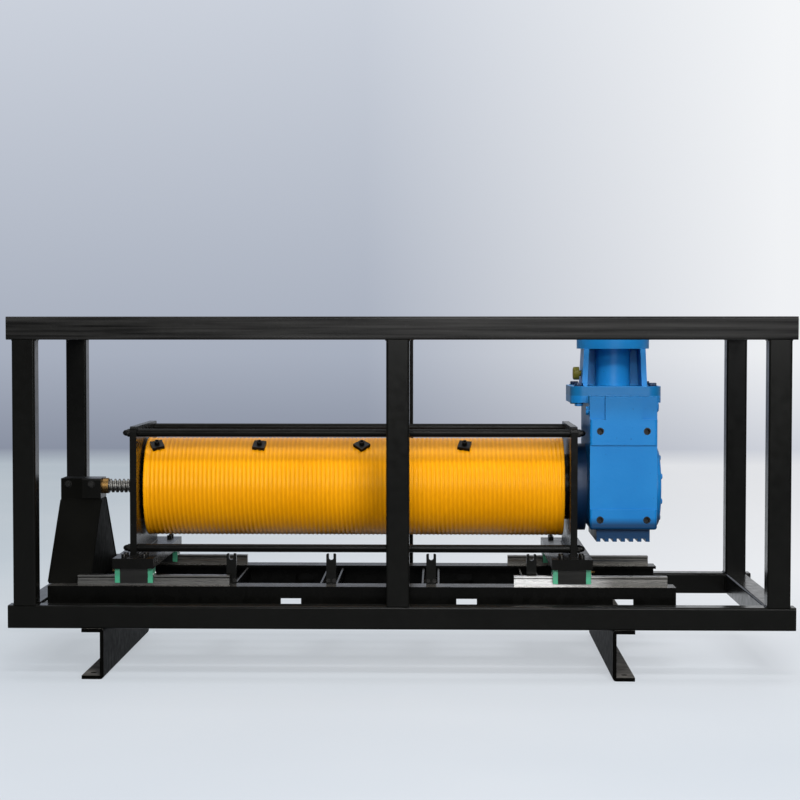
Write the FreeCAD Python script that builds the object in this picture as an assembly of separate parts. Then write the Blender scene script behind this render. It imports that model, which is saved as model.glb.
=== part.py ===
"""Stage winch with a travelling drum, in millimetres.

X runs along the drum, Y towards the back and Z up from the floor. A welded tube frame stands on two
skids. The drum, its end plates and the gear unit ride on linear guides, and a fixed lead screw in a
nut inside the drum moves them one groove sideways for each turn, so the ropes always leave in place.
"""
import FreeCAD, Part
import math
import os

V = FreeCAD.Vector
AXES = {"x": V(1, 0, 0), "y": V(0, 1, 0), "z": V(0, 0, 1)}

# Frame
frame_length = 1700.0
frame_depth = 720.0
frame_height = 675.0
tube = 50.0
tube_wall = 3.0
tube_corner = 5.0
post_inset = 12.0
middle_post_x = -5.0
plug_depth = 18.0

# Skids, placed from the ends of the frame
skid_height = 110.0
skid_flange = 48.0
skid_wall = 8.0
left_skid_inset = 208.0
right_skid_inset = 392.0
skid_hole_r = 7.0
skid_hole_inset = 40.0

# Base beams and cross members
beam_end_gap = 5.0
beam_overhang = 17.0
beam_height = 80.0
beam_width = 66.0
beam_wall = 6.0
beam_lip = 30.0
window_places = (540.0, 928.0, 1272.0)
window_width = 45.0
window_height = 30.0
window_drop = 26.0
cross_width = 40.0
cross_height = 32.0
cross_wall = 4.0
cross_pitch = 230.0
cross_lead = 15.0

# Rope forks
fork_count = 4
fork_gap_left = 6.0
fork_gap_right = 11.0
fork_width = 22.0
fork_height = 67.0
fork_thickness = 10.0
notch_width = 10.0
notch_depth = 14.0

# Linear guides
guide_spacing = 442.0
guide_rail_width = 23.0
guide_rail_height = 22.0
rail_waist = 2.3
rail_waist_heights = (8.8, 12.1, 15.8, 18.7)
guide_height = 40.0
rail_behind_block = 127.0
rail_length = 338.0
block_length = 84.0
block_width = 48.0
block_clearance = 6.0
block_cap = 11.0
block_play = 0.5

# Carriage, placed from the left end of the beams
carriage_start = 173.0
plate_spacing = 973.0
left_block_inset = 10.5
right_block_inset = 8.5
foot_width = 90.0
foot_overhang = 17.0
foot_thickness = 22.0
plate_thickness = 15.0
plate_width = 350.0
plate_corner = 12.0
plate_margin = 15.0
axis_height = 143.0
rod_r = 9.0
rod_inset = 25.0
rod_clearance = 4.0
rod_stub_r = 5.0
nut_r = 9.0
nut_length = 19.0
nut_hexagon_share = 0.45
nut_cap_shares = (0.85, 0.4)

# Drum
drum_r = 112.5
drum_wall = 12.5
drum_gap_left = 5.0
drum_gap_right = 9.0
rim_width = 8.0
groove_depth = 2.0
hub_thickness = 25.0
clamp_start = 27.0
clamp_pitch = 235.0
clamp_size = 28.0
clamp_thickness = 8.0
clamp_lean = 32.0
clamp_turns = (20.0, -8.0, 45.0, -12.0)
clamp_hole_r = 4.5

# Lead screw, its nut and the drum's bearings
screw_r = 16.0
screw_lead = 10.0
turns_out = 15
turns_back = 2
screw_overrun = 6.0
nut_wall = 8.0
nut_flange_step = 5.0
nut_flange = 8.0
collar_wall = 2.0
collar_length = 13.0
journal_wall = 6.0
bearing_ring = 15.0
bearing_width = 18.0
bearing_lip = 9.0
bearing_groove = 3.0
sleeve_wall = 10.0
sleeve_flange_step = 20.0
sleeve_flange = 12.0
sleeve_length = 47.0
spigot_step = 5.0
shaft_room = 2.0

# Pedestal
pedestal_gap = 87.0
pedestal_depth = 93.0
pedestal_rail_gap = 6.5
pedestal_top_half = 36.0
pedestal_wall = 8.0
screw_block_depth = 44.0
screw_block_half = 40.0
screw_block_cover = 3.0
screw_block_base = 11.0

# Gear train
spur_module = 3.5
spur_pinion_teeth = 17
spur_wheel_teeth = 51
spur_width = 26.0
spur_gap = 11.0
bevel_module = 4.0
bevel_pinion_teeth = 12
bevel_wheel_teeth = 30
bevel_face = 0.4
bevel_disc = 10.0
tooth_share = 0.36
tooth_tip_share = 0.2
tooth_root_factor = 1.25
tooth_tip_factor = 0.9
shaft_r = 15.0
small_bearing_ring = 16.0
small_bearing_width = 14.0
output_r = 25.0
hollow_wall = 11.0
output_bearing_ring = 19.0
output_bearing_width = 16.0
boss_wall = 9.0
input_room = 20.0
motor_shaft_r = 12.0
motor_shaft_depth = 60.0
coupling_wall = 9.0
coupling_length = 80.0

# Gear unit
flange_r = 100.0
flange_nut_room = 8.0
gear_width = 150.0
input_offset = 64.0
gear_front = 180.0
gear_back = 125.0
gear_depth_below = 84.0
gear_wall = 12.0
gear_edge = 6.0
top_flange = 16.0
sump_inset_left = 17.0
sump_inset_right = 14.0
sump_margin = 25.0
sump_wall = 6.0
sump_clearance = 7.6
sump_rib_count = 7
sump_rib_width = 9.0
sump_rib_height = 7.0
pad_low_height = 45.0
pad_high_drop = 31.0
pad_height = 4.0
corner_height = 51.0
corner_width = 34.0
corner_depth = 10.0
foot_hole_r = 6.0
foot_hole_depth = 20.0
foot_hole_spacing_x = 104.0
foot_hole_spacing_z = 198.0
foot_hole_rise = 22.0
cover_r = 92.0
cover_length = 19.0
cover_edge = 9.0
cover_cavity_step = 12.0
cover_wall = 8.0

# Motor lantern
lantern_flange = 206.0
lantern_flange_thickness = 21.0
lantern_flange_corner = 30.0
lantern_height = 85.0
lantern_half_top = 70.0
lantern_half_bottom = 74.0
lantern_cheek = 12.0
lantern_cheek_half = 58.0
lantern_wall = 10.0
core_room = 9.0
core_wall = 10.0
motor_flange_r = 83.0
motor_flange_thickness = 24.0
motor_spigot_r = 55.0
motor_spigot_depth = 5.0
motor_pcd = 130.0
motor_hole_r = 4.5
breather_r = 15.0
breather_length = 19.0
breather_stem_r = 7.0
breather_stem = 9.0
breather_rise = 28.0

# Clearances, and how far a cut runs past a face
seat_gap = 0.05
running_gap = 0.06
past = 1.0
tiny = 1e-6

# Heights that follow
frame_z = skid_height
frame_top = frame_z + frame_height
beam_top = frame_z + beam_height
block_top = beam_top + guide_height
foot_top = block_top + foot_thickness
axis_z = foot_top + axis_height
rod_rise = axis_height - rod_clearance - rod_r
plate_top = axis_z + rod_rise + plate_margin
screw_block_low_z = axis_z - screw_r - screw_block_base
screw_block_top_z = axis_z + screw_r + screw_block_cover
layshaft_z = axis_z + spur_module * (spur_pinion_teeth + spur_wheel_teeth) / 2
pinion_top_z = layshaft_z + bevel_module * bevel_wheel_teeth / 2
gear_top_z = pinion_top_z + input_room + small_bearing_width
gear_bottom_z = axis_z - gear_depth_below
wheel_tip_r = spur_module * (spur_wheel_teeth / 2 + tooth_tip_factor)
sump_floor_z = axis_z - wheel_tip_r - sump_clearance
rib_z = sump_floor_z - sump_wall
foot_hole_low_z = gear_bottom_z + foot_hole_rise
foot_hole_high_z = foot_hole_low_z + foot_hole_spacing_z
lantern_z = gear_top_z + lantern_flange_thickness
motor_flange_z = lantern_z + lantern_height
motor_face_z = motor_flange_z + motor_flange_thickness
breather_z = lantern_z + breather_rise

# Depths and radii that follow
guide_y = guide_spacing / 2
beam_outer = guide_y + beam_lip
beam_inner = beam_outer - beam_width
foot_half = guide_y + block_width / 2 + foot_overhang
rod_y = plate_width / 2 - rod_inset
pedestal_base_half = guide_y - guide_rail_width / 2 - pedestal_rail_gap
barrel_r = drum_r - groove_depth / 2
drum_bore_r = drum_r - drum_wall
nut_body_r = screw_r + nut_wall
journal_r = nut_body_r + journal_wall
bearing_r = journal_r + bearing_ring
sleeve_r = bearing_r + sleeve_wall
spigot_r = sleeve_r - spigot_step
collar_r = screw_r + collar_wall
hollow_r = output_r + hollow_wall
output_bearing_r = hollow_r + output_bearing_ring
small_bearing_r = shaft_r + small_bearing_ring
coupling_r = motor_shaft_r + coupling_wall
core_bore_r = coupling_r + core_room

# Places along the winch that follow
travel_out = screw_lead * turns_out
travel_back = screw_lead * turns_back
beam_left_x = -frame_length / 2 + post_inset + tube + beam_end_gap
left_plate_x = beam_left_x + carriage_start
left_plate_inner = left_plate_x + plate_thickness
right_plate_x = left_plate_inner + plate_spacing
right_plate_outer = right_plate_x + plate_thickness
left_block_x = left_plate_x + plate_thickness / 2 + left_block_inset
right_block_x = right_plate_x + plate_thickness / 2 - right_block_inset
beam_right_x = right_block_x - rail_behind_block + rail_length + beam_overhang
fork_first_x = left_block_x + foot_width / 2 + travel_out + fork_gap_left + fork_width / 2
fork_last_x = right_block_x - foot_width / 2 - travel_back - fork_gap_right - fork_width / 2
drum_left_x = left_plate_inner + drum_gap_left
drum_right_x = right_plate_x - drum_gap_right
left_hub_x = left_plate_inner + sleeve_length + shaft_room
right_hub_x = right_plate_x - sleeve_length - shaft_room
screw_end_x = left_hub_x + hub_thickness + travel_out + screw_overrun
pedestal_right_x = left_plate_x - pedestal_gap
pedestal_left_x = pedestal_right_x - pedestal_depth
screw_block_x = pedestal_right_x - screw_block_depth
gear_left_x = right_plate_outer + nut_length + flange_nut_room
gear_right_x = gear_left_x + gear_width
gear_x = gear_left_x + input_offset
foot_x = (gear_left_x + gear_right_x) / 2
left_boss_x = gear_left_x + gear_wall + boss_wall
right_boss_x = gear_right_x - gear_wall - boss_wall
spur_x = right_boss_x - spur_gap - spur_width
sump_left_x = gear_left_x + sump_inset_left
sump_right_x = gear_right_x - sump_inset_right


def save(name, *solids):
    """Write one node, a single solid or a group of separate ones."""
    shape = solids[0] if len(solids) == 1 else Part.makeCompound(list(solids))
    shape.exportStep(f"parts/{name}.step")


def box(x, y, z):
    """Block between the low and high value of each pair."""
    low = V(min(x), min(y), min(z))
    return Part.makeBox(max(x) - low.x, max(y) - low.y, max(z) - low.z, low)


def rod(axis, start, end, r, across=(0.0, 0.0)):
    """Cylinder along an axis from start to end, across gives its two other coordinates in XYZ order."""
    spots = {"x": V(start, *across), "y": V(across[0], start, across[1]), "z": V(*across, start)}
    return Part.makeCylinder(r, end - start, spots[axis], AXES[axis])


def on_axis(start, end, r):
    """Cylinder on the drum's axis."""
    return rod("x", start, end, r, (0.0, axis_z))


def polygon(points):
    """Closed flat face through the points."""
    return Part.Face(Part.makePolygon([V(*p) for p in points + points[:1]]))


def rounded_block(width, length, r):
    """Square block standing on the XY plane, centred on the Z axis, with round upright edges."""
    block = Part.makeBox(width, width, length, V(-width / 2, -width / 2, 0))
    return block.makeFillet(r, [e for e in block.Edges if e.BoundBox.ZLength > length / 2])


def square_tube(axis, length, middle):
    """Hollow square tube with round corners, centred on a point."""
    inner = rounded_block(tube - 2 * tube_wall, length, tube_corner - tube_wall / 2)
    solid = rounded_block(tube, length, tube_corner).cut(inner)
    solid.translate(V(0, 0, -length / 2))
    turn = {"x": (V(0, 1, 0), 90), "y": (V(1, 0, 0), 90), "z": (V(0, 0, 1), 0)}[axis]
    solid.rotate(V(0, 0, 0), *turn)
    solid.translate(V(*middle))
    return solid


def frame_tubes():
    """Long rails, end rails between them, and posts from the bottom rails to the top ones."""
    rail_y = frame_depth / 2 - tube / 2
    post_x = frame_length / 2 - post_inset - tube / 2
    levels = {"bottom": frame_z + tube / 2, "top": frame_top - tube / 2}
    for level, z in levels.items():
        for side, y in (("front", -rail_y), ("back", rail_y)):
            save(f"{side}_{level}_rail", square_tube("x", frame_length, (0, y, z)))
        for end, x in (("left", -post_x), ("right", post_x)):
            save(f"{end}_{level}_rail", square_tube("y", frame_depth - 2 * tube, (x, 0, z)))
    post_z = frame_z + frame_height / 2
    for side, y in (("front", -rail_y), ("back", rail_y)):
        for place, x in (("left", -post_x), ("middle", middle_post_x), ("right", post_x)):
            save(f"{side}_{place}_post", square_tube("z", frame_height - 2 * tube, (x, y, post_z)))
    plug = tube - 2 * tube_wall - 2 * seat_gap
    plugs = []
    for z in levels.values():
        for y in (-rail_y, rail_y):
            for way in (-1, 1):
                solid = rounded_block(plug, plug_depth, tube_corner - tube_wall / 2)
                solid.rotate(V(0, 0, 0), V(0, 1, 0), -90 * way)
                solid.translate(V(way * frame_length / 2, y, z))
                plugs.append(solid)
    save("tube_plugs", *plugs)


def skid(web_x, way):
    """Channel under the frame, its web at web_x and its flanges pointing outwards."""
    half = frame_depth / 2
    outer = box((web_x, web_x + way * skid_flange), (-half, half), (0, skid_height))
    room = box((web_x + way * skid_wall, web_x + way * (skid_flange + past)), (-half, half),
               (skid_wall, skid_height - skid_wall))
    solid = outer.cut(room)
    root = [e for e in solid.Edges if abs(e.BoundBox.XMin - web_x) < tiny
            and e.BoundBox.YLength > tiny and e.BoundBox.XLength < tiny]
    solid = solid.makeFillet(skid_wall, root)
    hole_x = web_x + way * (skid_wall + skid_flange) / 2
    for y in (-half + skid_hole_inset, half - skid_hole_inset):
        solid = solid.cut(rod("z", -past, skid_wall + past, skid_hole_r, (hole_x, y)))
    return solid


def base_beam(way):
    """Channel along the winch with its web outwards, a lip for the guide rails and windows in the web."""
    outer = box((beam_left_x, beam_right_x), (way * beam_inner, way * beam_outer), (frame_z, beam_top))
    room = box((beam_left_x, beam_right_x), (way * (beam_inner - past), way * (beam_outer - beam_wall)),
               (frame_z + beam_wall, beam_top - beam_wall))
    solid = outer.cut(room)
    high = beam_top - window_drop
    for place in window_places:
        left = beam_left_x + place - window_width / 2
        across = (left, left + window_width)
        solid = solid.cut(box(across, (way * (beam_outer - 2 * beam_wall), way * (beam_outer + past)),
                              (high - window_height, high)))
    return solid


def fork_places():
    """Middle of each rope fork along the winch."""
    pitch = (fork_last_x - fork_first_x) / (fork_count - 1)
    return [fork_first_x + i * pitch for i in range(fork_count)]


def cross_member(x):
    """Channel between the webs of the beams, under their top flanges, with its open side up."""
    half = beam_outer - beam_wall
    top = beam_top - beam_wall
    outer = box((x - cross_width / 2, x + cross_width / 2), (-half, half), (top - cross_height, top))
    inner = box((x - cross_width / 2 + cross_wall, x + cross_width / 2 - cross_wall), (-half, half),
                (top - cross_height + cross_wall, top + past))
    return outer.cut(inner)


def rope_fork(x):
    """Upright plate on the inner edge of the front beam, with a round-bottomed notch for the rope."""
    y = (-beam_inner - fork_thickness, -beam_inner)
    top = beam_top + fork_height
    solid = box((x - fork_width / 2, x + fork_width / 2), y, (beam_top, top))
    corners = [e for e in solid.Edges if e.BoundBox.ZMin > top - tiny and e.BoundBox.YLength > tiny]
    solid = solid.makeFillet((fork_width - notch_width) / 4, corners)
    low = top - notch_depth + notch_width / 2
    slot = box((x - notch_width / 2, x + notch_width / 2), (y[0] - past, y[1] + past), (low, top + past))
    end = rod("y", y[0] - past, y[1] + past, notch_width / 2, (x, low))
    return solid.cut(slot.fuse(end))


def guide_rail(start, length, y):
    """Rail with the waisted section that the balls run in."""
    half = guide_rail_width / 2
    waist = half - rail_waist
    depths = zip((half, waist, waist, half), rail_waist_heights)
    side = [(half, 0.0), *depths, (half, guide_rail_height)]
    outline = [(start, y + a, beam_top + z) for a, z in side]
    outline += [(start, y - a, beam_top + z) for a, z in reversed(side)]
    return polygon(outline).extrude(V(length, 0, 0))


def block_part(x, y, length, inset):
    """Length of a guide block: a saddle over the rail, drawn in by the inset."""
    half = block_width / 2 - inset
    room = guide_rail_width / 2 + block_play
    low = beam_top + block_clearance + inset
    ceiling = beam_top + guide_rail_height + block_play
    outer = box((x, x + length), (y - half, y + half), (low, block_top - inset))
    return outer.cut(box((x - past, x + length + past), (y - room, y + room), (low - past, ceiling)))


def linear_guides():
    """Rails on the beams, blocks on the rails and the blocks' end caps."""
    caps = []
    for side, y in (("front", -guide_y), ("back", guide_y)):
        rails = []
        for end, x in (("left", left_block_x), ("right", right_block_x)):
            rails.append(guide_rail(x - rail_behind_block, rail_length, y))
            start = x - block_length / 2
            body = block_part(start + block_cap, y, block_length - 2 * block_cap, 0.0)
            save(f"{side}_{end}_guide_block", body)
            for cap_x in (start, start + block_length - block_cap):
                caps.append(block_part(cap_x, y, block_cap, block_play))
        save(f"{side}_guide_rails", *rails)
    save("guide_block_caps", *caps)


def end_plate(x):
    """Upright plate with the bearing bore and the tie rod holes."""
    half = plate_width / 2
    solid = box((x, x + plate_thickness), (-half, half), (foot_top, plate_top))
    corners = [e for e in solid.Edges if e.BoundBox.ZMin > plate_top - tiny
               and e.BoundBox.XLength > plate_thickness - tiny]
    solid = solid.makeFillet(plate_corner, corners)
    solid = solid.cut(on_axis(x - past, x + plate_thickness + past, spigot_r + seat_gap))
    for y, z in rod_places():
        solid = solid.cut(rod("x", x - past, x + plate_thickness + past, rod_stub_r + seat_gap, (y, z)))
    return solid


def rod_places():
    """Y and Z of the tie rods, two above the drum and one below it in front."""
    high = axis_z + rod_rise
    return [(-rod_y, axis_z - rod_rise), (-rod_y, high), (rod_y, high)]


def tie_rods():
    """Shouldered rods between the end plates, and the dome nuts on their thinner ends."""
    rods = []
    nuts = []
    stub = plate_thickness + nut_length / 2
    for place in rod_places():
        bar = rod("x", left_plate_inner, right_plate_x, rod_r, place)
        stubs = rod("x", left_plate_inner - stub, right_plate_x + stub, rod_stub_r, place)
        rods.append(bar.fuse(stubs).removeSplitter())
        for face, way in ((left_plate_x, -1), (right_plate_outer, 1)):
            nuts.append(dome_nut(face, way, place))
    save("tie_rods", *rods)
    save("dome_nuts", *nuts)


def dome_nut(face, way, place):
    """Hexagon nut with a turned cap in two slopes, bored for the stub, standing on a face."""
    hexagon = nut_length * nut_hexagon_share
    corners = [(0, nut_r * math.cos(math.pi * k / 3), nut_r * math.sin(math.pi * k / 3)) for k in range(6)]
    body = polygon(corners).extrude(V(way * hexagon, 0, 0))
    cap_r = nut_r * math.cos(math.pi / 6)
    shoulder = (hexagon + nut_length) / 2
    out = V(way, 0, 0)
    waist_r, end_r = (cap_r * share for share in nut_cap_shares)
    solid = body.fuse(Part.makeCone(cap_r, waist_r, shoulder - hexagon, out * hexagon, out))
    solid = solid.fuse(Part.makeCone(waist_r, end_r, nut_length - shoulder, out * shoulder, out))
    depth = nut_length / 2 + seat_gap
    bore = rod("x", min(0, way * depth), max(0, way * depth), rod_stub_r + seat_gap)
    solid = solid.cut(bore).removeSplitter()
    solid.translate(V(face, *place))
    return solid


def foot_plate(middle_x):
    """Plate across two guide blocks that carries an end plate."""
    x = (middle_x - foot_width / 2, middle_x + foot_width / 2)
    return box(x, (-foot_half, foot_half), (block_top, foot_top))


def bearing_sleeve(face, way):
    """Flanged housing on the inner face of an end plate, its spigot in the plate's bore."""
    def along(start, end, r):
        """Cylinder measured inwards from the face."""
        a, b = sorted((face + way * start, face + way * end))
        return on_axis(a, b, r)
    flange = along(0, sleeve_flange, sleeve_r + sleeve_flange_step)
    solid = flange.fuse(along(0, sleeve_length, sleeve_r))
    solid = solid.fuse(along(-plate_thickness, 0, spigot_r)).removeSplitter()
    solid = solid.cut(along(-plate_thickness - past, sleeve_length + past, journal_r + shaft_room))
    seat = sleeve_length - bearing_width - bearing_lip
    return solid.cut(along(seat, sleeve_length + past, bearing_r + seat_gap))


def drum_bearing(face, way):
    """Ring bearing in a sleeve, with the groove between its races on both faces."""
    far = face + way * (sleeve_length - bearing_lip)
    a, b = sorted((far, far - way * bearing_width))
    solid = on_axis(a, b, bearing_r).cut(on_axis(a - past, b + past, journal_r + running_gap))
    middle = (bearing_r + journal_r) / 2
    half = bearing_groove / 2
    for x in (a, b):
        groove = on_axis(x - half, x + half, middle + half)
        solid = solid.cut(groove.cut(on_axis(x - half, x + half, middle - half)))
    return solid


def drum_shell():
    """Tube with a plain rim at each end and a turned-down barrel that the rope grooves are cut in."""
    solid = on_axis(drum_left_x, drum_right_x, barrel_r)
    for start, end in ((drum_left_x, drum_left_x + rim_width), (drum_right_x - rim_width, drum_right_x)):
        solid = solid.fuse(on_axis(start, end, drum_r))
    return solid.removeSplitter().cut(on_axis(drum_left_x - past, drum_right_x + past, drum_bore_r))


def left_hub():
    """Hub disc with the hollow journal that the travelling nut sits in."""
    end = left_hub_x + hub_thickness
    solid = on_axis(left_hub_x, end, drum_bore_r - seat_gap)
    solid = solid.fuse(on_axis(left_plate_x, left_hub_x, journal_r)).removeSplitter()
    return solid.cut(on_axis(left_plate_x - past, end + past, nut_body_r + seat_gap))


def right_hub():
    """Hub disc with a boss, bored for the output shaft."""
    start = right_hub_x - 2 * hub_thickness
    solid = on_axis(right_hub_x - hub_thickness, right_hub_x, drum_bore_r - seat_gap)
    solid = solid.fuse(on_axis(start, right_hub_x, journal_r + hub_thickness / 2)).removeSplitter()
    return solid.cut(on_axis(start - past, right_hub_x + past, journal_r + seat_gap))


def screw_nut():
    """Flanged bronze nut in the left journal, running on the screw."""
    start = left_plate_x - nut_flange
    end = left_hub_x + hub_thickness
    solid = on_axis(left_plate_x, end, nut_body_r)
    solid = solid.fuse(on_axis(start, left_plate_x, nut_body_r + nut_flange_step)).removeSplitter()
    return solid.cut(on_axis(start - past, end + past, screw_r + running_gap))


def rope_clamps():
    """Square plates bent to the drum, each turned its own way, with one bolt hole."""
    reach = drum_r + 2 * clamp_size
    clamps = []
    for i, turn in enumerate(clamp_turns):
        x = drum_left_x + clamp_start + i * clamp_pitch
        half = clamp_size / 2
        block = box((x - half, x + half), (-half, half), (axis_z, axis_z + reach))
        block = block.cut(rod("z", axis_z, axis_z + reach, clamp_hole_r, (x, 0)))
        block.rotate(V(x, 0, 0), AXES["z"], turn)
        block.rotate(V(0, 0, axis_z), AXES["x"], clamp_lean)
        inner = barrel_r + seat_gap
        ring = on_axis(x - clamp_size, x + clamp_size, inner + clamp_thickness)
        clamps.append(block.common(ring.cut(on_axis(x - clamp_size, x + clamp_size, inner))))
    return clamps


def pedestal():
    """Closed welded stand: wide on the beams, tapering to a narrow head that holds the clamp block."""
    def stand(x, inset):
        """A-shaped outline drawn in by the inset, from one side plate to the other."""
        base = pedestal_base_half - inset
        head = pedestal_top_half - inset
        low = beam_top + inset
        side = [(base, low), (head, screw_block_low_z), (head, screw_block_top_z - inset)]
        outline = [(x[0], y, z) for y, z in side] + [(x[0], -y, z) for y, z in reversed(side)]
        return polygon(outline).extrude(V(x[1] - x[0], 0, 0))
    solid = stand((pedestal_left_x, pedestal_right_x), 0.0)
    inside = stand((pedestal_left_x + pedestal_wall, pedestal_right_x - pedestal_wall), pedestal_wall)
    reach = pedestal_top_half + past
    notch = box((screw_block_x, pedestal_right_x + past), (-reach, reach),
                (screw_block_low_z, screw_block_top_z + past))
    wall_x = screw_block_x - pedestal_wall
    seat = box((wall_x, pedestal_right_x), (-reach, reach),
               (screw_block_low_z - pedestal_wall, screw_block_top_z))
    solid = solid.cut(inside.cut(seat)).cut(notch)
    return solid.cut(on_axis(wall_x - past, screw_block_x + past, screw_r + seat_gap))


def screw_block():
    """Clamp block on the pedestal's head that holds the end of the screw."""
    solid = box((screw_block_x, pedestal_right_x), (-screw_block_half, screw_block_half),
                (screw_block_low_z, screw_block_top_z))
    edges = [e for e in solid.Edges if e.BoundBox.XLength > tiny
             and e.BoundBox.ZMin > screw_block_top_z - tiny]
    solid = solid.makeChamfer(pedestal_wall / 2, edges)
    return solid.cut(on_axis(screw_block_x - past, pedestal_right_x + past, screw_r + seat_gap))


def lead_screw():
    """Screw at the size of its thread's crest, held by the block, with a turned point inside the drum."""
    bar = on_axis(screw_block_x - pedestal_wall, screw_end_x, screw_r)
    tip = [e for e in bar.Edges if e.BoundBox.XMin > screw_end_x - tiny]
    return bar.makeChamfer(screw_r / 4, tip)


def screw_collar():
    """Round lock nut against the block, with four spanner slots."""
    end = pedestal_right_x + collar_length
    solid = on_axis(pedestal_right_x, end, collar_r)
    solid = solid.cut(on_axis(pedestal_right_x - past, end + past, screw_r + seat_gap))
    depth = collar_wall / 2
    for k in range(4):
        slot = box((end - collar_length / 2, end + past), (-depth, depth),
                   (axis_z + collar_r - depth, axis_z + collar_r + past))
        slot.rotate(V(0, 0, axis_z), AXES["x"], 90 * k)
        solid = solid.cut(slot)
    return solid


def foot_holes():
    """X and Z of the four tapped holes in the gear unit's foot face."""
    half = foot_hole_spacing_x / 2
    return [(foot_x + x, z) for x in (-half, half) for z in (foot_hole_low_z, foot_hole_high_z)]


def gear_housing():
    """Cast housing: foot pads in front, flange on top, ribbed sump below, bearing bosses inside."""
    solid = box((gear_left_x, gear_right_x), (-gear_front, gear_back), (gear_bottom_z, gear_top_z))
    soft = [e for e in solid.Edges if e.BoundBox.ZLength > tiny or e.BoundBox.ZMax < gear_bottom_z + tiny]
    solid = solid.makeFillet(gear_edge, soft)
    flange = rounded_block(lantern_flange, top_flange, lantern_flange_corner)
    flange.translate(V(gear_x, 0, gear_top_z - top_flange))
    solid = solid.fuse(flange)
    sump_y = (-gear_front + sump_margin, gear_back - sump_margin)
    solid = solid.fuse(box((sump_left_x, sump_right_x), sump_y, (rib_z, gear_bottom_z + gear_edge)))
    pitch = (sump_right_x - sump_left_x - sump_rib_width) / (sump_rib_count - 1)
    for k in range(sump_rib_count):
        x = sump_left_x + k * pitch
        solid = solid.fuse(box((x, x + sump_rib_width), sump_y, (rib_z - sump_rib_height, rib_z)))
    solid = solid.removeSplitter()
    ends = (gear_left_x - past, gear_right_x + past)
    pads = (gear_bottom_z + pad_low_height, foot_hole_high_z - pad_high_drop)
    solid = solid.cut(box(ends, (-gear_front - past, -gear_front + pad_height), pads))
    face = (-gear_front - past, -gear_front + corner_depth)
    for x in ((ends[0], gear_left_x + corner_width), (gear_right_x - corner_width, ends[1])):
        solid = solid.cut(box(x, face, (gear_top_z - corner_height, gear_top_z + past)))
    for place in foot_holes():
        solid = solid.cut(rod("y", -gear_front - past, -gear_front + foot_hole_depth, foot_hole_r, place))
    inside_x = (gear_left_x + gear_wall, gear_right_x - gear_wall)
    room = box(inside_x, (-gear_front + foot_hole_depth + gear_wall, gear_back - gear_wall),
               (gear_bottom_z + gear_wall, gear_top_z - gear_wall))
    sump = box((sump_left_x + gear_wall, sump_right_x - gear_wall),
               (sump_y[0] + gear_wall, sump_y[1] - gear_wall), (sump_floor_z, gear_bottom_z + 2 * gear_wall))
    solid = solid.cut(room.fuse(sump))
    for a, b in ((inside_x[0], left_boss_x), (right_boss_x, inside_x[1])):
        solid = solid.fuse(rod("x", a, b, small_bearing_r + boss_wall, (0, layshaft_z)))
        solid = solid.fuse(on_axis(a, b, output_bearing_r + boss_wall))
    seat = small_bearing_width + seat_gap
    seat_r = small_bearing_r + seat_gap
    for a, b in ((left_boss_x - seat, left_boss_x + past), (right_boss_x - past, right_boss_x + seat)):
        solid = solid.cut(rod("x", a, b, seat_r, (0, layshaft_z)))
    solid = solid.cut(on_axis(*ends, output_bearing_r + seat_gap))
    return solid.cut(rod("z", gear_top_z - 2 * gear_wall, gear_top_z + past, seat_r, (gear_x, 0)))


def gear_bearings():
    """Ring bearings of the layshaft, the hollow output shaft and the input shaft."""
    def ring(axis, start, width, r, hole_r, across):
        """Plain ring around an axis."""
        hole = rod(axis, start - past, start + width + past, hole_r + running_gap, across)
        return rod(axis, start, start + width, r, across).cut(hole)
    small = (small_bearing_width, small_bearing_r, shaft_r)
    large = (output_bearing_width, output_bearing_r, hollow_r)
    rings = []
    for axle, size in (((0, layshaft_z), small), ((0, axis_z), large)):
        for start in (left_boss_x - size[0], right_boss_x):
            rings.append(ring("x", start, *size, axle))
    for top in (gear_top_z, lantern_z):
        rings.append(ring("z", top - small_bearing_width, *small, (gear_x, 0)))
    return rings


def gear_flange():
    """Adapter ring between the right end plate and the gear unit."""
    solid = on_axis(right_plate_outer, gear_left_x, flange_r)
    return solid.cut(on_axis(right_plate_outer - past, gear_left_x + past, output_bearing_r))


def gear_cover():
    """Round cap over the free end of the hollow shaft, turned with a soft outer edge."""
    end = gear_right_x + cover_length
    solid = on_axis(gear_right_x, end, cover_r)
    rim = [e for e in solid.Edges if e.BoundBox.XMin > end - tiny]
    solid = solid.makeFillet(cover_edge, rim)
    return solid.cut(on_axis(gear_right_x - past, end - cover_wall, hollow_r + cover_cavity_step))


def gear_outline(teeth, module, turn, lean=0.0):
    """Points of a gear's outline, four to a tooth, as radius and angle; a cone gear leans its teeth."""
    pitch_r = module * teeth / 2
    step = 2 * math.pi / teeth
    points = []
    for k in range(teeth):
        middle = k * step + turn
        root = pitch_r - tooth_root_factor * module / math.cos(lean)
        tip = pitch_r + tooth_tip_factor * module / math.cos(lean)
        points += [(root, middle - tooth_share * step), (tip, middle - tooth_tip_share * step / 2)]
        points += [(tip, middle + tooth_tip_share * step / 2), (root, middle + tooth_share * step)]
    return points


def spur_gear(teeth, z, turn):
    """Straight-toothed gear along X, one width long."""
    outline = gear_outline(teeth, spur_module, turn)
    points = [(spur_x, r * math.sin(a), z + r * math.cos(a)) for r, a in outline]
    return polygon(points).extrude(V(spur_width, 0, 0))


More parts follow.
